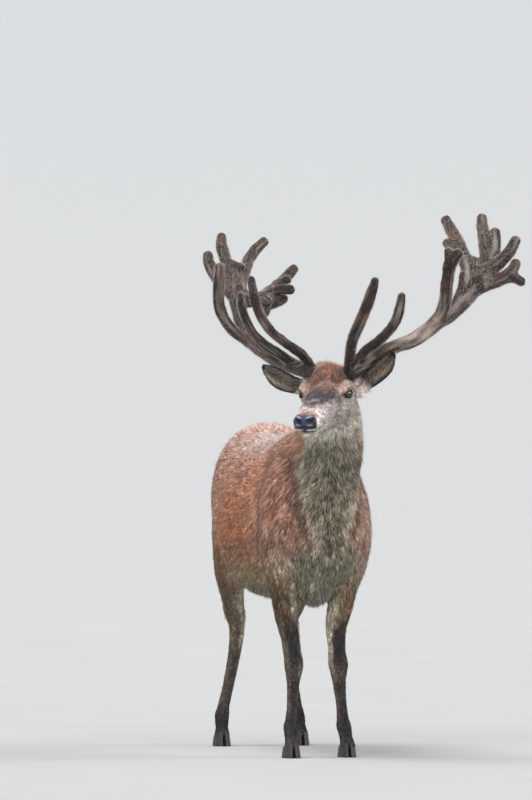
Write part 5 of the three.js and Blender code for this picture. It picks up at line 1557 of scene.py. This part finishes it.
def coat_length(P, N, D, W):
    x, y, z = P.T
    L = to_head(P)
    trunk = 21.0 + 2.0 * step(-200, -420, y) + 12.0 * step(690, 600, z) * step(430, 330, y) * step(-330, -230, y) + 5.0 * step(0.5, 1.0, N[:, 2])
    trunk = trunk + 3.0 * step(-380, -500, y) * step(740, 620, z)
    neck = 20.0 + 3.0 * step(0.2, -0.7, neck_turn(P, N)) + 7.0 * step(0.2, 0.8, neck_turn(P, N)) - 3.0 * step(1230, 1330, z)
    jaw = step(-50, -82, L[:, 2]) * step(-180, -60, L[:, 1])
    crown = step(-16, 14, L[:, 1]) * step(24, 44, L[:, 2]) * step(62, 40, np.abs(L[:, 0]))
    cheek = step(10, 70, L[:, 1])
    head = 7.5 + 2.5 * step(-190, -80, L[:, 1]) + 8.0 * cheek + 12.0 * jaw + 11.0 * crown
    leg = 9.0 + 9.0 * step(430, 560, z) + 6.0 * step(0.2, 0.8, N[:, 1]) * step(360, 480, z) + 5.0 * step(0.3, 0.8, N[:, 1]) * step(190, 150, z) * step(70, 100, z)
    leg = leg + 7.0 * step(0.3, 0.9, N[:, 1]) * (y > 0) * step(420, 440, z) * step(520, 490, z)
    tail = np.full(len(P), 36.0)
    return trunk * W["trunk"] + neck * W["neck"] + head * W["head"] + leg * W["leg"] + tail * W["tail"], crown, jaw


def spread(uv):
    lo, hi = uv.min(0), uv.max(0)
    return 0.004 + 0.992 * (uv - lo) / np.maximum(hi - lo, 1e-6)


def unwrap(zone, P):
    x, y, z = P.T
    if zone == "trunk":
        return np.stack([np.arctan2(x, z - 820), y / 400 + np.abs(x) * 0], 1)
    if zone == "tail":
        return np.stack([np.arctan2(x, y - 690), z], 1)
    if zone == "neck":
        a, b = np.array([8, -400, 930.0]), np.array([-22, -636, 1345.0])
        w = unit(b - a)
        q = P - a
        f = unit(np.cross(w, [1, 0, 0]))
        g = np.cross(w, f)
        return np.stack([np.arctan2(q @ g, q @ f), q @ w], 1)
    if zone == "head":
        L = to_head(P)
        return np.stack([np.arctan2(L[:, 0], -(L[:, 2] + 30)), L[:, 1] - 0.2 * np.hypot(L[:, 0], L[:, 2] + 30)], 1)
    if zone == "leg":
        k = (x > 0) * 1 + (y > 0) * 2
        u = np.empty(len(P))
        for j, name in enumerate(("foreleg_right", "foreleg_left", "hindleg_right", "hindleg_left")):
            m = k == j
            r = np.array([[q[2], q[0], q[1]] for q in LEGS[name]][::-1], float)
            cx, cy = np.interp(z[m], r[:, 0], r[:, 1]), np.interp(z[m], r[:, 0], r[:, 2])
            u[m] = j + 0.5 + 0.96 * np.arctan2(x[m] - cx, y[m] - cy) / (2 * math.pi)
        return np.stack([u, z], 1)
    own, s, a, which, hollow = ear_own(P)
    return np.stack([which * 2 + (hollow > 0) + 0.5 + 0.46 * np.clip(a, -1, 1), s], 1)


def grizzled(C, W, rng):
    """Each tuft's own shade: darker and paler ones among each other, most on the neck."""
    n = len(C)
    g = np.clip(W["neck"] + 0.8 * W["trunk"] * W["woolly"], 0, 1)
    C = C * np.exp(rng.normal(0, 0.48, n))[:, None]
    fleck = rng.uniform(0, 1, n)
    C = mix(C, DARK * 0.8, 0.62 * (fleck < 0.20 * g))
    C = mix(C, CREAM, 0.45 * (fleck > 1 - 0.24 * g * W["bib"]))
    C = mix(C, RUST_PALE, 0.45 * (fleck > 1 - 0.16 * g * (1 - W["bib"])))
    t = (W["trunk"] > 0.5) * (1 - g)
    C = mix(C, RUST_PALE * 1.1, 0.5 * t * (fleck > 0.84))
    C = mix(C, DARK, 0.6 * t * (fleck < 0.15))
    return C


def L_y(P):
    return to_head(P)[:, 1]


def grow_coat(SV, ST, SN, SD, SWET, mats):
    rng = np.random.default_rng(20)
    thin = 1.0
    W = shares(SD)
    own = ear_own(SV)[0]
    L = to_head(SV)
    M = np.stack([np.abs(L[:, 0]), L[:, 1], L[:, 2]], 1)
    e = M - EYE_C
    lid = np.sqrt(((e @ EYE_P + 2) / 25.8) ** 2 + ((e @ EYE_Q) / 16.4) ** 2)
    clear = (1 - SWET) * np.where((e @ EYE_OUT > 0) & (lid < 1.05) & (np.linalg.norm(e, axis=1) < 40), 0, 1)
    clear = clear * (1 - 0.95 * np.exp(-((L[:, 2] - mouth_line(L[:, 1])) / 4.0) ** 2) * (L[:, 1] < -150) * (W["head"] > 0.5))
    clear = clear * (1 - 0.95 * np.clip(1.4 * ridge(M, [17, -285, -17], [23, -280, -21], 8.0)[0], 0, 1))
    clear = clear * (1 - 0.95 * np.clip(1.4 * ridge(M, [25, -281, -20], [39, -268, -8], 5.0)[0], 0, 1))
    clear = clear * (1 - 0.9 * ridge(M, [80, -40, 1], [60, -70, -16], 4.0)[0])
    clear = clear * step(24, 40, SV[:, 2])
    body = clear * (1 - own)
    made = []

    def piece(name, zone, kind, R, N, Dv, ln, wd, lf, C, slot, bend):
        uv = spread(unwrap(zone, R))
        ob, tris = build_tufts(name, kind, R, N, Dv, ln, wd, lf, C, uv, mats["coat"], rng, bend)
        made.append((name, tris))

    def woolly(P):
        return step(-230, -400, P[:, 1])

    # locks on the tail; spikes on the neck, chest and shoulders, denser and more tousled there, and straighter and
    # shorter ones on the rest of the trunk
    wool = woolly(SV)
    for kind, per in (("lock", 10), ("spike", 4)):
        if kind == "lock":
            dens = body * (W["tail"] * 0.06)
        else:
            dens = body * (W["trunk"] * (0.080 + 0.056 * wool) + W["neck"] * 0.185)
        R, N = scatter(SV, ST, SN, dens * thin, rng)
        D = part_distances(R)
        w = shares(D)
        w["y"], w["woolly"], w["bib"] = R[:, 1], woolly(R), np.maximum(bib_weight(R, N), step(1180, 1250, R[:, 2]))
        ln, crown, jaw = coat_length(R, N, D, w)
        C, _ = markings_and_painted_light(R, N, D)
        C = grizzled(C, w, rng)
        Dv = lie(R, N, D, rng, 0.18)
        Dv = norm_rows(Dv + rng.normal(0, 0.17, R.shape) * np.clip(w["neck"] + 0.6 * w["woolly"] * w["trunk"], 0, 1)[:, None])
        ln = ln * np.exp(rng.normal(0, 0.18, len(R)))
        wide = 4.0 if kind == "lock" else 3.4 - 0.4 * w["woolly"]
        ln = ln * np.where(w["tail"] > 0.5, 1.0, 1.25 if kind == "lock" else 1.0)
        wd = (wide * (w["trunk"] + w["neck"]) - 0.3 * w["neck"] + 5.4 * w["tail"] + 3.0 * w["head"] + 3.2 * w["leg"]) * np.exp(rng.normal(0, 0.22, len(R)))
        low = step(0.1, -0.5, N[:, 2])
        lf = ln * (0.17 * w["trunk"] + 0.05 * w["trunk"] * w["woolly"] + 0.25 * w["neck"] + 0.20 * w["tail"] + 0.14 * w["head"] + 0.10 * w["leg"] + 0.05 * low * w["trunk"]) * np.exp(rng.normal(0, 0.32, len(R)))
        lf = lf * (1 + 0.9 * step(200, 420, R[:, 1]) * step(0.2, 0.6, N[:, 2]) * w["trunk"])
        lf = np.minimum(lf, 19)
        zone = np.argmax(np.stack([w["trunk"] + w["leg"], w["neck"] + w["head"], w["tail"]]), 0)
        for z, zn, slot in ((0, "trunk", "body_coat"), (1, "neck", "neck_coat"), (2, "tail", "body_coat")):
            idx = np.nonzero(zone == z)[0]
            if len(idx) < 20:
                continue
            for k, i in enumerate(np.array_split(idx, max(1, math.ceil(len(idx) * per / 190000)))):
                piece("coat_%s_%s_%d" % (zn, kind, k + 1), zn, kind, R[i], N[i], Dv[i], ln[i], wd[i], lf[i], C[i], slot, 0.11)
    say("long coat", sum(t for _, t in made), "triangles")

    # short coat: head and legs
    for zn, slot, per, fine in (("head", "face_coat", 0.30, 2.2), ("leg", "leg_coat", 0.085, 3.0)):
        z = W[zn] * body
        if zn == "head":
            z = z * (0.55 + 0.75 * step(40, -60, L[:, 1]) - 0.25 * (np.abs(L[:, 1] + 130) < 200) * step(-60, -90, L[:, 2]))
        R, N = scatter(SV, ST, SN, z * per * thin, rng)
        D = part_distances(R)
        w = shares(D)
        ln, crown, jaw = coat_length(R, N, D, w)
        C, _ = markings_and_painted_light(R, N, D)
        fleck = rng.uniform(0, 1, len(R))
        C = C * np.exp(rng.normal(0, 0.36 if zn == "head" else 0.34, len(R)))[:, None]
        if zn == "head":
            C = mix(C, FACE_DARK * 0.8, 0.65 * (fleck < 0.12))
            C = mix(C, CREAM * 1.1, 0.45 * (fleck > 0.88) * (1 - crown) * step(0.05, 0.16, C.mean(1)) * step(20, -20, L_y(R)))
        Dv = lie(R, N, D, rng, 0.15 if zn == "leg" else 0.20)
        ln = ln * np.exp(rng.normal(0, 0.18, len(R)))
        Lr = to_head(R)
        small = 1 - 0.35 * step(-150, -230, Lr[:, 1]) * (zn == "head")
        ln = ln * small
        wd = fine * small * (1 + 0.6 * crown + 0.5 * jaw + 0.5 * w["neck"]) * np.exp(rng.normal(0, 0.2, len(R)))
        lf = ln * ((0.17 if zn == "head" else 0.10) + 0.20 * crown + 0.10 * jaw) * np.exp(rng.normal(0, 0.35, len(R)))
        for k, i in enumerate(np.array_split(np.arange(len(R)), max(1, math.ceil(len(R) * 4 / 190000)))):
            piece("coat_%s_%d" % (zn, k + 1), zn, "spike", R[i], N[i], Dv[i], ln[i], wd[i], lf[i], C[i], slot, 0.06)
    say("short coat", sum(t for _, t in made), "triangles")

    # ears: short outside, longer and pale inside, a dark edge
    R, N = scatter(SV, ST, SN, clear * own * 0.30 * thin, rng)
    D = part_distances(R)
    o, s, a, which, hollow = ear_own(R)
    C, _ = markings_and_painted_light(R, N, D)
    inner = (hollow > 0) & (np.abs(a) < 0.72) & (s < 0.88)
    fleck = rng.uniform(0, 1, len(R))
    C = mix(C, CREAM * 0.7, 0.50 * (inner & (fleck > 0.78)))
    C = mix(C, BLACK * 1.5, 0.7 * (inner & (fleck < 0.30)))
    C = C * np.exp(rng.normal(0, 0.20, len(R)))[:, None]
    Dv = lie(R, N, D, rng, 0.16)
    near_rim = step(0.35, 0.8, np.abs(a))
    ln = np.where(inner, 11 + 7 * near_rim * step(0.95, 0.6, s), 5.0) * np.exp(rng.normal(0, 0.18, len(R)))
    ln = ln * (1 - 0.30 * step(0.75, 1.0, s))
    back = -np.sign(a) * np.where(inner, 0.55, 0.0)
    for k, E in enumerate((EAR_RIGHT, EAR_LEFT)):
        m = which == k
        Dv[m] = norm_rows(Dv[m] + back[m, None] * ear_frame(E)[4])
    Dv = norm_rows(Dv - (Dv * N).sum(1)[:, None] * N)
    wd = np.where(inner, 2.1, 2.0) * np.exp(rng.normal(0, 0.2, len(R)))
    lf = ln * np.where(inner, 0.22 + 0.10 * near_rim, 0.12)
    piece("coat_ears", "ear", "spike", R, N, Dv, ln, wd, lf, C, "ear_coat", 0.12)
    say("coat", sum(t for _, t in made), "triangles", made)


# ------------------------------------------------------------------ velvet
VELVET, VELVET_DARK, VELVET_PALE = srgb(40, 33, 32), srgb(20, 19, 23), srgb(194, 178, 168)


def velvet_colour_and_highlight(P, table, side):
    """Dark and shining low down, browner and paler high up, with veins and streaks running along the beams; the left
    antler's lower beam is painted paler, a painted highlight.
    """
    q = antler_unwrap(P, table)
    q = np.stack([q[:, 0] * 125, q[:, 1] * 0.14, np.zeros(len(P))], 1)
    vein = lattice(q, 15, 31) + 0.8 * lattice(q, 6, 33)
    n = lattice(P, 60, 32)
    base = step(1530, 1400, P[:, 2])
    high = step(1540, 1720, P[:, 2])
    c = np.tile(VELVET, (len(P), 1))
    c = mix(c, VELVET_DARK, np.clip(0.30 + 0.40 * vein + 0.15 * n + 0.40 * base - 0.10 * high, 0, 1))
    c = mix(c, VELVET_PALE, np.clip(-0.02 + 0.24 * vein - 0.04 * base, 0, 0.5))
    c = mix(c, srgb(112, 76, 62), 0.35 * np.clip(-n - 0.1, 0, 1))
    # painted highlight: the left antler's lower beam paler
    if side > 0:
        low = np.abs(P[:, 2] - np.interp(P[:, 0], [120, 230, 330, 420], [1410, 1450, 1510, 1590]))
        c = mix(c, VELVET_PALE, 0.60 * step(80, 20, low) * step(130, 200, P[:, 0]) * step(400, 300, P[:, 0]) * np.clip(0.7 + 0.7 * vein, 0, 1))
    return c


def antler_unwrap(P, table):
    best = np.full(len(P), 1e9)
    uv = np.zeros((len(P), 2))
    for k, (n, p) in enumerate(table.items()):
        S = spline(p)
        run = np.concatenate([[0], np.cumsum(np.linalg.norm(np.diff(S[:, :3], axis=0), axis=1))])
        axis = unit(S[-1, :3] - S[0, :3])
        f = unit(np.cross(axis, [0.3, 0.2, 1.0]))
        g = np.cross(axis, f)
        for j in range(len(S) - 1):
            a, b = S[j, :3], S[j + 1, :3]
            w = b - a
            q = P - a
            t = np.clip(q @ w / (w @ w), 0, 1)
            d = np.linalg.norm(q - t[:, None] * w, axis=1) - S[j, 3]
            m = d < best
            best[m] = d[m]
            r = q[m] - t[m, None] * w
            uv[m, 0] = k + 0.5 + 0.46 * np.arctan2(r @ g, r @ f) / math.pi
            uv[m, 1] = run[j] + t[m] * (run[j + 1] - run[j])
    return uv


def grow_velvet(name, V, T, N, field, table, side, mats, rng):
    T = order_along(V, T)
    thin = 1.0
    R, n = scatter(V, T, N, np.full(len(V), 0.050 * thin), rng)
    d, along, way = field(R, True)
    # the fuzz hairs mostly pale: partly the velvet's own grey hair, partly painted rim light on the antlers' edges
    C = mix(velvet_colour_and_highlight(R, table, side), VELVET_PALE, np.full(len(R), 0.80)) * np.exp(rng.normal(0, 0.25, len(R)))[:, None]
    D = norm_rows(way + 1e-6) + rng.normal(0, 0.45, R.shape)
    D = norm_rows(D - (D * n).sum(1)[:, None] * n)
    ln = 5.4 * np.exp(rng.normal(0, 0.25, len(R)))
    uv = spread(antler_unwrap(R, table))
    ob, tris = build_tufts(name, "spike", R, n, D, 0.45 * ln, np.full(len(R), 0.9), ln, C, uv, mats["fuzz"], rng, 0.1)
    return tris


# ------------------------------------------------------------------ materials
def new_material(name):
    m = bpy.data.materials.new(name)
    m.use_nodes = True
    t = m.node_tree
    t.nodes.clear()
    out = t.nodes.new("ShaderNodeOutputMaterial")
    sh = t.nodes.new("ShaderNodeBsdfPrincipled")
    t.links.new(sh.outputs[0], out.inputs[0])
    return m, t, sh


def noise_node(t, scale, detail, rough, vector=None, stretch=None, turn=None):
    n = t.nodes.new("ShaderNodeTexNoise")
    n.inputs["Scale"].default_value = scale
    n.inputs["Detail"].default_value = detail
    n.inputs["Roughness"].default_value = rough
    src = vector or t.nodes.new("ShaderNodeTexCoord").outputs["Object"]
    if stretch:
        mp = t.nodes.new("ShaderNodeMapping")
        if turn:
            mp.inputs["Rotation"].default_value = turn
        mp.inputs["Scale"].default_value = stretch
        t.links.new(src, mp.inputs["Vector"])
        src = mp.outputs[0]
    t.links.new(src, n.inputs["Vector"])
    return n


def ramp(t, fac, stops):
    r = t.nodes.new("ShaderNodeValToRGB")
    e = r.color_ramp.elements
    while len(e) < len(stops):
        e.new(0.5)
    for k, (p, c) in enumerate(stops):
        e[k].position = p
        e[k].color = (*c, 1) if len(c) == 3 else c
    t.links.new(fac, r.inputs[0])
    return r


def times(t, a, b, factor=1.0):
    m = t.nodes.new("ShaderNodeMix")
    m.data_type, m.blend_type = "RGBA", "MULTIPLY"
    m.inputs[0].default_value = factor
    t.links.new(a, m.inputs[6])
    t.links.new(b, m.inputs[7])
    return m.outputs[2]


def attribute(t, name):
    a = t.nodes.new("ShaderNodeAttribute")
    a.attribute_name = name
    return a


def bump(t, sh, height, strength, distance):
    b = t.nodes.new("ShaderNodeBump")
    b.inputs["Strength"].default_value = strength
    b.inputs["Distance"].default_value = distance
    t.links.new(height, b.inputs["Height"])
    t.links.new(b.outputs[0], sh.inputs["Normal"])
    return b


def mix_value(t, fac, a, b):
    m = t.nodes.new("ShaderNodeMix")
    m.data_type = "FLOAT"
    t.links.new(fac, m.inputs[0])
    for s, v in ((m.inputs[2], a), (m.inputs[3], b)):
        if isinstance(v, (int, float)):
            s.default_value = v
        else:
            t.links.new(v, s)
    return m.outputs[0]


def make_materials():
    mats = {}
    grey = lambda v: (v, v, v)
    # skin under the coat: short fur lying flat, wet black horn-like pad on the nose
    m, t, sh = new_material("skin")
    tint, wet, head = attribute(t, "Tint"), attribute(t, "Wet"), attribute(t, "Head")
    down = noise_node(t, 1.0, 3, 0.6, stretch=(420, 420, 70))
    along = noise_node(t, 1.0, 3, 0.6, stretch=(480, 90, 480), turn=(0, 0, math.radians(-HEAD_TURN)))
    fur = mix_value(t, head.outputs["Fac"], down.outputs["Fac"], along.outputs["Fac"])
    pebble = t.nodes.new("ShaderNodeTexVoronoi")
    pebble.inputs["Scale"].default_value = 620
    t.links.new(t.nodes.new("ShaderNodeTexCoord").outputs["Object"], pebble.inputs["Vector"])
    strokes = ramp(t, fur, [(0.30, grey(0.62)), (0.70, grey(1.25))])
    flat = ramp(t, pebble.outputs["Distance"], [(0.0, grey(1.25)), (0.8, grey(0.7))])
    mm = t.nodes.new("ShaderNodeMix")
    mm.data_type = "RGBA"
    t.links.new(wet.outputs["Fac"], mm.inputs[0])
    t.links.new(strokes.outputs[0], mm.inputs[6])
    t.links.new(flat.outputs[0], mm.inputs[7])
    t.links.new(times(t, tint.outputs["Color"], mm.outputs[2]), sh.inputs["Base Color"])
    t.links.new(mix_value(t, wet.outputs["Fac"], 0.78, 0.24), sh.inputs["Roughness"])
    inv = t.nodes.new("ShaderNodeMath")
    inv.operation = "SUBTRACT"
    inv.inputs[0].default_value = 1.0
    t.links.new(pebble.outputs["Distance"], inv.inputs[1])
    bump(t, sh, mix_value(t, wet.outputs["Fac"], fur, inv.outputs[0]), 0.55, 0.0016)
    sh.inputs["Specular IOR Level"].default_value = 0.42
    mats["skin"] = m
    # the tufts
    m, t, sh = new_material("coat")
    tint = attribute(t, "Tint")
    n = noise_node(t, 95, 4, 0.6)
    r = ramp(t, n.outputs["Fac"], [(0.30, grey(0.78)), (0.72, grey(1.20))])
    t.links.new(times(t, tint.outputs["Color"], r.outputs[0]), sh.inputs["Base Color"])
    sh.inputs["Roughness"].default_value = 0.60
    sh.inputs["Specular IOR Level"].default_value = 0.22
    sh.inputs["Sheen Weight"].default_value = 0.06
    sh.inputs["Sheen Roughness"].default_value = 0.45
    mats["coat"] = m
    # velvet
    m, t, sh = new_material("velvet")
    tint = attribute(t, "Tint")
    n = noise_node(t, 260, 5, 0.65)
    r = ramp(t, n.outputs["Fac"], [(0.32, grey(0.62)), (0.70, grey(1.35))])
    t.links.new(times(t, tint.outputs["Color"], r.outputs[0]), sh.inputs["Base Color"])
    sh.inputs["Roughness"].default_value = 0.86
    sh.inputs["Specular IOR Level"].default_value = 0.2
    sh.inputs["Sheen Weight"].default_value = 1.0
    sh.inputs["Sheen Roughness"].default_value = 0.22
    sh.inputs["Sheen Tint"].default_value = (1.0, 0.92, 0.86, 1)
    bump(t, sh, n.outputs["Fac"], 0.8, 0.0026)
    mats["velvet"] = m
    m, t, sh = new_material("fuzz")
    tint = attribute(t, "Tint")
    n = noise_node(t, 140, 3, 0.6)
    r = ramp(t, n.outputs["Fac"], [(0.3, grey(0.8)), (0.7, grey(1.2))])
    t.links.new(times(t, tint.outputs["Color"], r.outputs[0]), sh.inputs["Base Color"])
    sh.inputs["Roughness"].default_value = 0.8
    sh.inputs["Sheen Weight"].default_value = 0.5
    sh.inputs["Sheen Roughness"].default_value = 0.3
    sh.inputs["Sheen Tint"].default_value = (1.0, 0.92, 0.86, 1)
    mats["fuzz"] = m
    # horn of the hooves
    m, t, sh = new_material("horn")
    rings = noise_node(t, 1.0, 3, 0.55, stretch=(60, 60, 620))
    fibre = noise_node(t, 1.0, 3, 0.6, stretch=(700, 700, 40))
    c = ramp(t, rings.outputs["Fac"], [(0.30, tuple(srgb(24, 21, 20))), (0.55, tuple(srgb(43, 37, 35))), (0.75, tuple(srgb(74, 64, 57)))])
    t.links.new(c.outputs[0], sh.inputs["Base Color"])
    rr = ramp(t, fibre.outputs["Fac"], [(0.3, grey(0.34)), (0.7, grey(0.56))])
    t.links.new(rr.outputs[0], sh.inputs["Roughness"])
    add = t.nodes.new("ShaderNodeMath")
    add.operation = "MULTIPLY_ADD"
    add.inputs[1].default_value = 0.5
    t.links.new(fibre.outputs["Fac"], add.inputs[0])
    t.links.new(rings.outputs["Fac"], add.inputs[2])
    bump(t, sh, add.outputs[0], 0.5, 0.0012)
    mats["horn"] = m
    # the eye
    m, t, sh = new_material("eye")
    tint = attribute(t, "Tint")
    n = noise_node(t, 900, 4, 0.6)
    r = ramp(t, n.outputs["Fac"], [(0.3, grey(0.6)), (0.7, grey(1.4))])
    t.links.new(times(t, tint.outputs["Color"], r.outputs[0]), sh.inputs["Base Color"])
    sh.inputs["Roughness"].default_value = 0.14
    sh.inputs["Specular IOR Level"].default_value = 0.40
    mats["eye"] = m
    # studio floor
    m, t, sh = new_material("floor")
    n = noise_node(t, 1.2, 3, 0.5)
    r = ramp(t, n.outputs["Fac"], [(0.3, (0.322, 0.330, 0.333)), (0.7, (0.337, 0.346, 0.349))])
    t.links.new(r.outputs[0], sh.inputs["Base Color"])
    sh.inputs["Roughness"].default_value = 0.9
    mats["floor"] = m
    return mats


# ------------------------------------------------------------------ all together
mats = make_materials()
rng = np.random.default_rng(7)

SV, ST = make_skin()
ST = order_along(SV, ST)
SN = vertex_normals(SV, ST)
SD = part_distances(SV)
SC, SWET = markings_and_painted_light(SV, SN, SD)
# the skin's colour darkened to half on the trunk and neck and to 0.8 on the head, legs and nose pad: painted shade
# between the tufts
skin = mesh_object("skin", SV, ST, mats["skin"], True, SC * (0.50 + 0.30 * np.clip(shares(SD)["head"] + shares(SD)["leg"] + SWET, 0, 1))[:, None], SWET)
a = skin.data.attributes.new("Head", "FLOAT", "POINT")
a.data.foreach_set("value", np.clip(shares(SD)["head"], 0, 1).astype(np.float32))
limbs = [n + "_" + p for n in LEGS for p in ("upper", "cannon", "pastern")]
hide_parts("head", "neck", "trunk", "tail", "ear_left", "ear_right", *limbs)
say("markings_and_painted_light")

grow_coat(SV, ST, SN, SD, SWET, mats)

nodes = sorted(frame["nodes"])
for side, table, webs, seed, sg in (("right", ANTLER_RIGHT, RIGHT_WEBS, 11, -1), ("left", ANTLER_LEFT, LEFT_WEBS, 12, 1)):
    V, T, field = make_antler(table, webs, seed)
    N = vertex_normals(V, T)
    d, along, way = field(V, True)
    ob = mesh_object("antler_" + side, V, T, mats["velvet"], True, velvet_colour_and_highlight(V, table, sg))
    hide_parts(*[n for n in nodes if n.startswith("antler_%s_" % side)])
    tris = grow_velvet("fuzz_" + side, V, T, N, field, table, sg, mats, rng)
    say("velvet", side, tris)

for leg, (hx, hy, side, dx, dy) in FEET.items():
    for s in (-1, 1):
        which = "outer" if s * side > 0 else "inner"
        V, T = make_claw(hx, hy, s)
        ob = mesh_object("%s_hoof_%s" % (leg, which), V, T, mats["horn"])
        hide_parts("%s_claw_%s" % (leg, which))
        V, T = make_dewclaw(dx + s * 14, dy, 82)
        ob = mesh_object("%s_dew_%s" % (leg, which), V, T, mats["horn"])
        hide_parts("%s_dewclaw_%s" % (leg, which))

for side, s in (("right", -1), ("left", 1)):
    V, T, local = make_eye(s)
    r = np.hypot(local[:, 0], local[:, 1])
    c = np.tile(srgb(30, 20, 17), (len(V), 1))
    c = mix(c, srgb(72, 48, 36), np.exp(-((r - 8.5) / 2.4) ** 2) * (local[:, 2] > 0))
    # painted reflections on the eye: pale blue-grey above the pupil and grey below it
    c = mix(c, srgb(128, 148, 158), 0.85 * np.exp(-((local[:, 0] / 7.5) ** 2 + ((local[:, 1] - 5.0) / 2.6) ** 2)) * (local[:, 2] > 0))
    c = mix(c, srgb(92, 100, 96), 0.70 * np.exp(-((local[:, 0] / 6.5) ** 2 + ((local[:, 1] + 5.4) / 2.0) ** 2)) * (local[:, 2] > 0))
    c = mix(c, srgb(2, 3, 6), step(1.15, 0.80, np.sqrt((local[:, 0] / 7.6) ** 2 + (local[:, 1] / 3.4) ** 2)) * (local[:, 2] > 0))
    c = mix(c, srgb(12, 9, 9), step(10.5, 12.0, r))
    ob = mesh_object("eyeball_" + side, V, T, mats["eye"], True, c)
    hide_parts("eye_" + side)
say("pieces")

# ------------------------------------------------------------------ floor, light and camera
me = bpy.data.meshes.new("studio_floor")
ring = [(70 * math.cos(2 * math.pi * k / 96), 70 * math.sin(2 * math.pi * k / 96), 0.0) for k in range(96)]
me.from_pydata(ring, [], [list(range(96))])
floor = bpy.data.objects.new("studio_floor", me)
me.materials.append(mats["floor"])
bpy.context.scene.collection.objects.link(floor)
floor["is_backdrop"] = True

world = bpy.data.worlds.new("studio")
bpy.context.scene.world = world
world.use_nodes = True
bg = world.node_tree.nodes["Background"]
wt = world.node_tree
up = wt.nodes.new("ShaderNodeSeparateXYZ")
wt.links.new(wt.nodes.new("ShaderNodeTexCoord").outputs["Generated"], up.inputs[0])
sky = ramp(wt, up.outputs["Z"], [(0.0, (0.905, 0.925, 0.935)), (0.035, (0.895, 0.92, 0.935)), (0.22, (0.80, 0.84, 0.88)), (1.0, (0.86, 0.89, 0.93))])
wt.links.new(sky.outputs[0], bg.inputs[0])
bg.inputs[1].default_value = 0.80


def area(name, at, look, size, energy, colour):
    l = bpy.data.lights.new(name, "AREA")
    l.shape, l.size, l.energy, l.color = "DISK", size, energy, colour
    ob = bpy.data.objects.new(name, l)
    bpy.context.scene.collection.objects.link(ob)
    ob.location = at
    ob.rotation_euler = (Vector(look) - Vector(at)).to_track_quat("-Z", "Y").to_euler()
    return ob


def sun(name, towards, strength, spread, colour):
    l = bpy.data.lights.new(name, "SUN")
    l.energy, l.angle, l.color = strength, math.radians(spread), colour
    ob = bpy.data.objects.new(name, l)
    bpy.context.scene.collection.objects.link(ob)
    ob.location = Vector(towards) * 8
    ob.rotation_euler = Vector(towards).to_track_quat("Z", "Y").to_euler()
    return ob


sun("overhead", (-0.36, 0.06, 0.93), 2.4, 30, (1.0, 0.97, 0.93))
sun("key", (-0.55, -0.68, 0.48), 0.9, 30, (1.0, 0.97, 0.94))
sun("rim", (0.78, -0.12, 0.60), 1.3, 24, (1.0, 0.98, 0.96))
sun("front", (-0.10, -0.89, 0.44), 2.3, 60, (1.0, 0.98, 0.96))

cam = bpy.data.cameras.new("camera")
cam.lens, cam.sensor_fit, cam.sensor_height, cam.sensor_width = 352.17, "VERTICAL", 36, 36
cam.shift_y, cam.shift_x = 16 / 800, 0
cam.clip_start, cam.clip_end = 0.1, 300
co = bpy.data.objects.new("camera", cam)
bpy.context.scene.collection.objects.link(co)
co.location = (-6.1619, -27.6397, 1.22)
co.rotation_euler = (math.radians(90), 0, math.radians(-12))
bpy.context.scene.camera = co

scene = bpy.context.scene
scene.view_settings.view_transform = "Standard"
scene.view_settings.look = "None"
scene.view_settings.exposure = 0
scene.view_settings.gamma = 1

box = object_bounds()
say("size", [[round(v, 4) for v in c] for c in box])
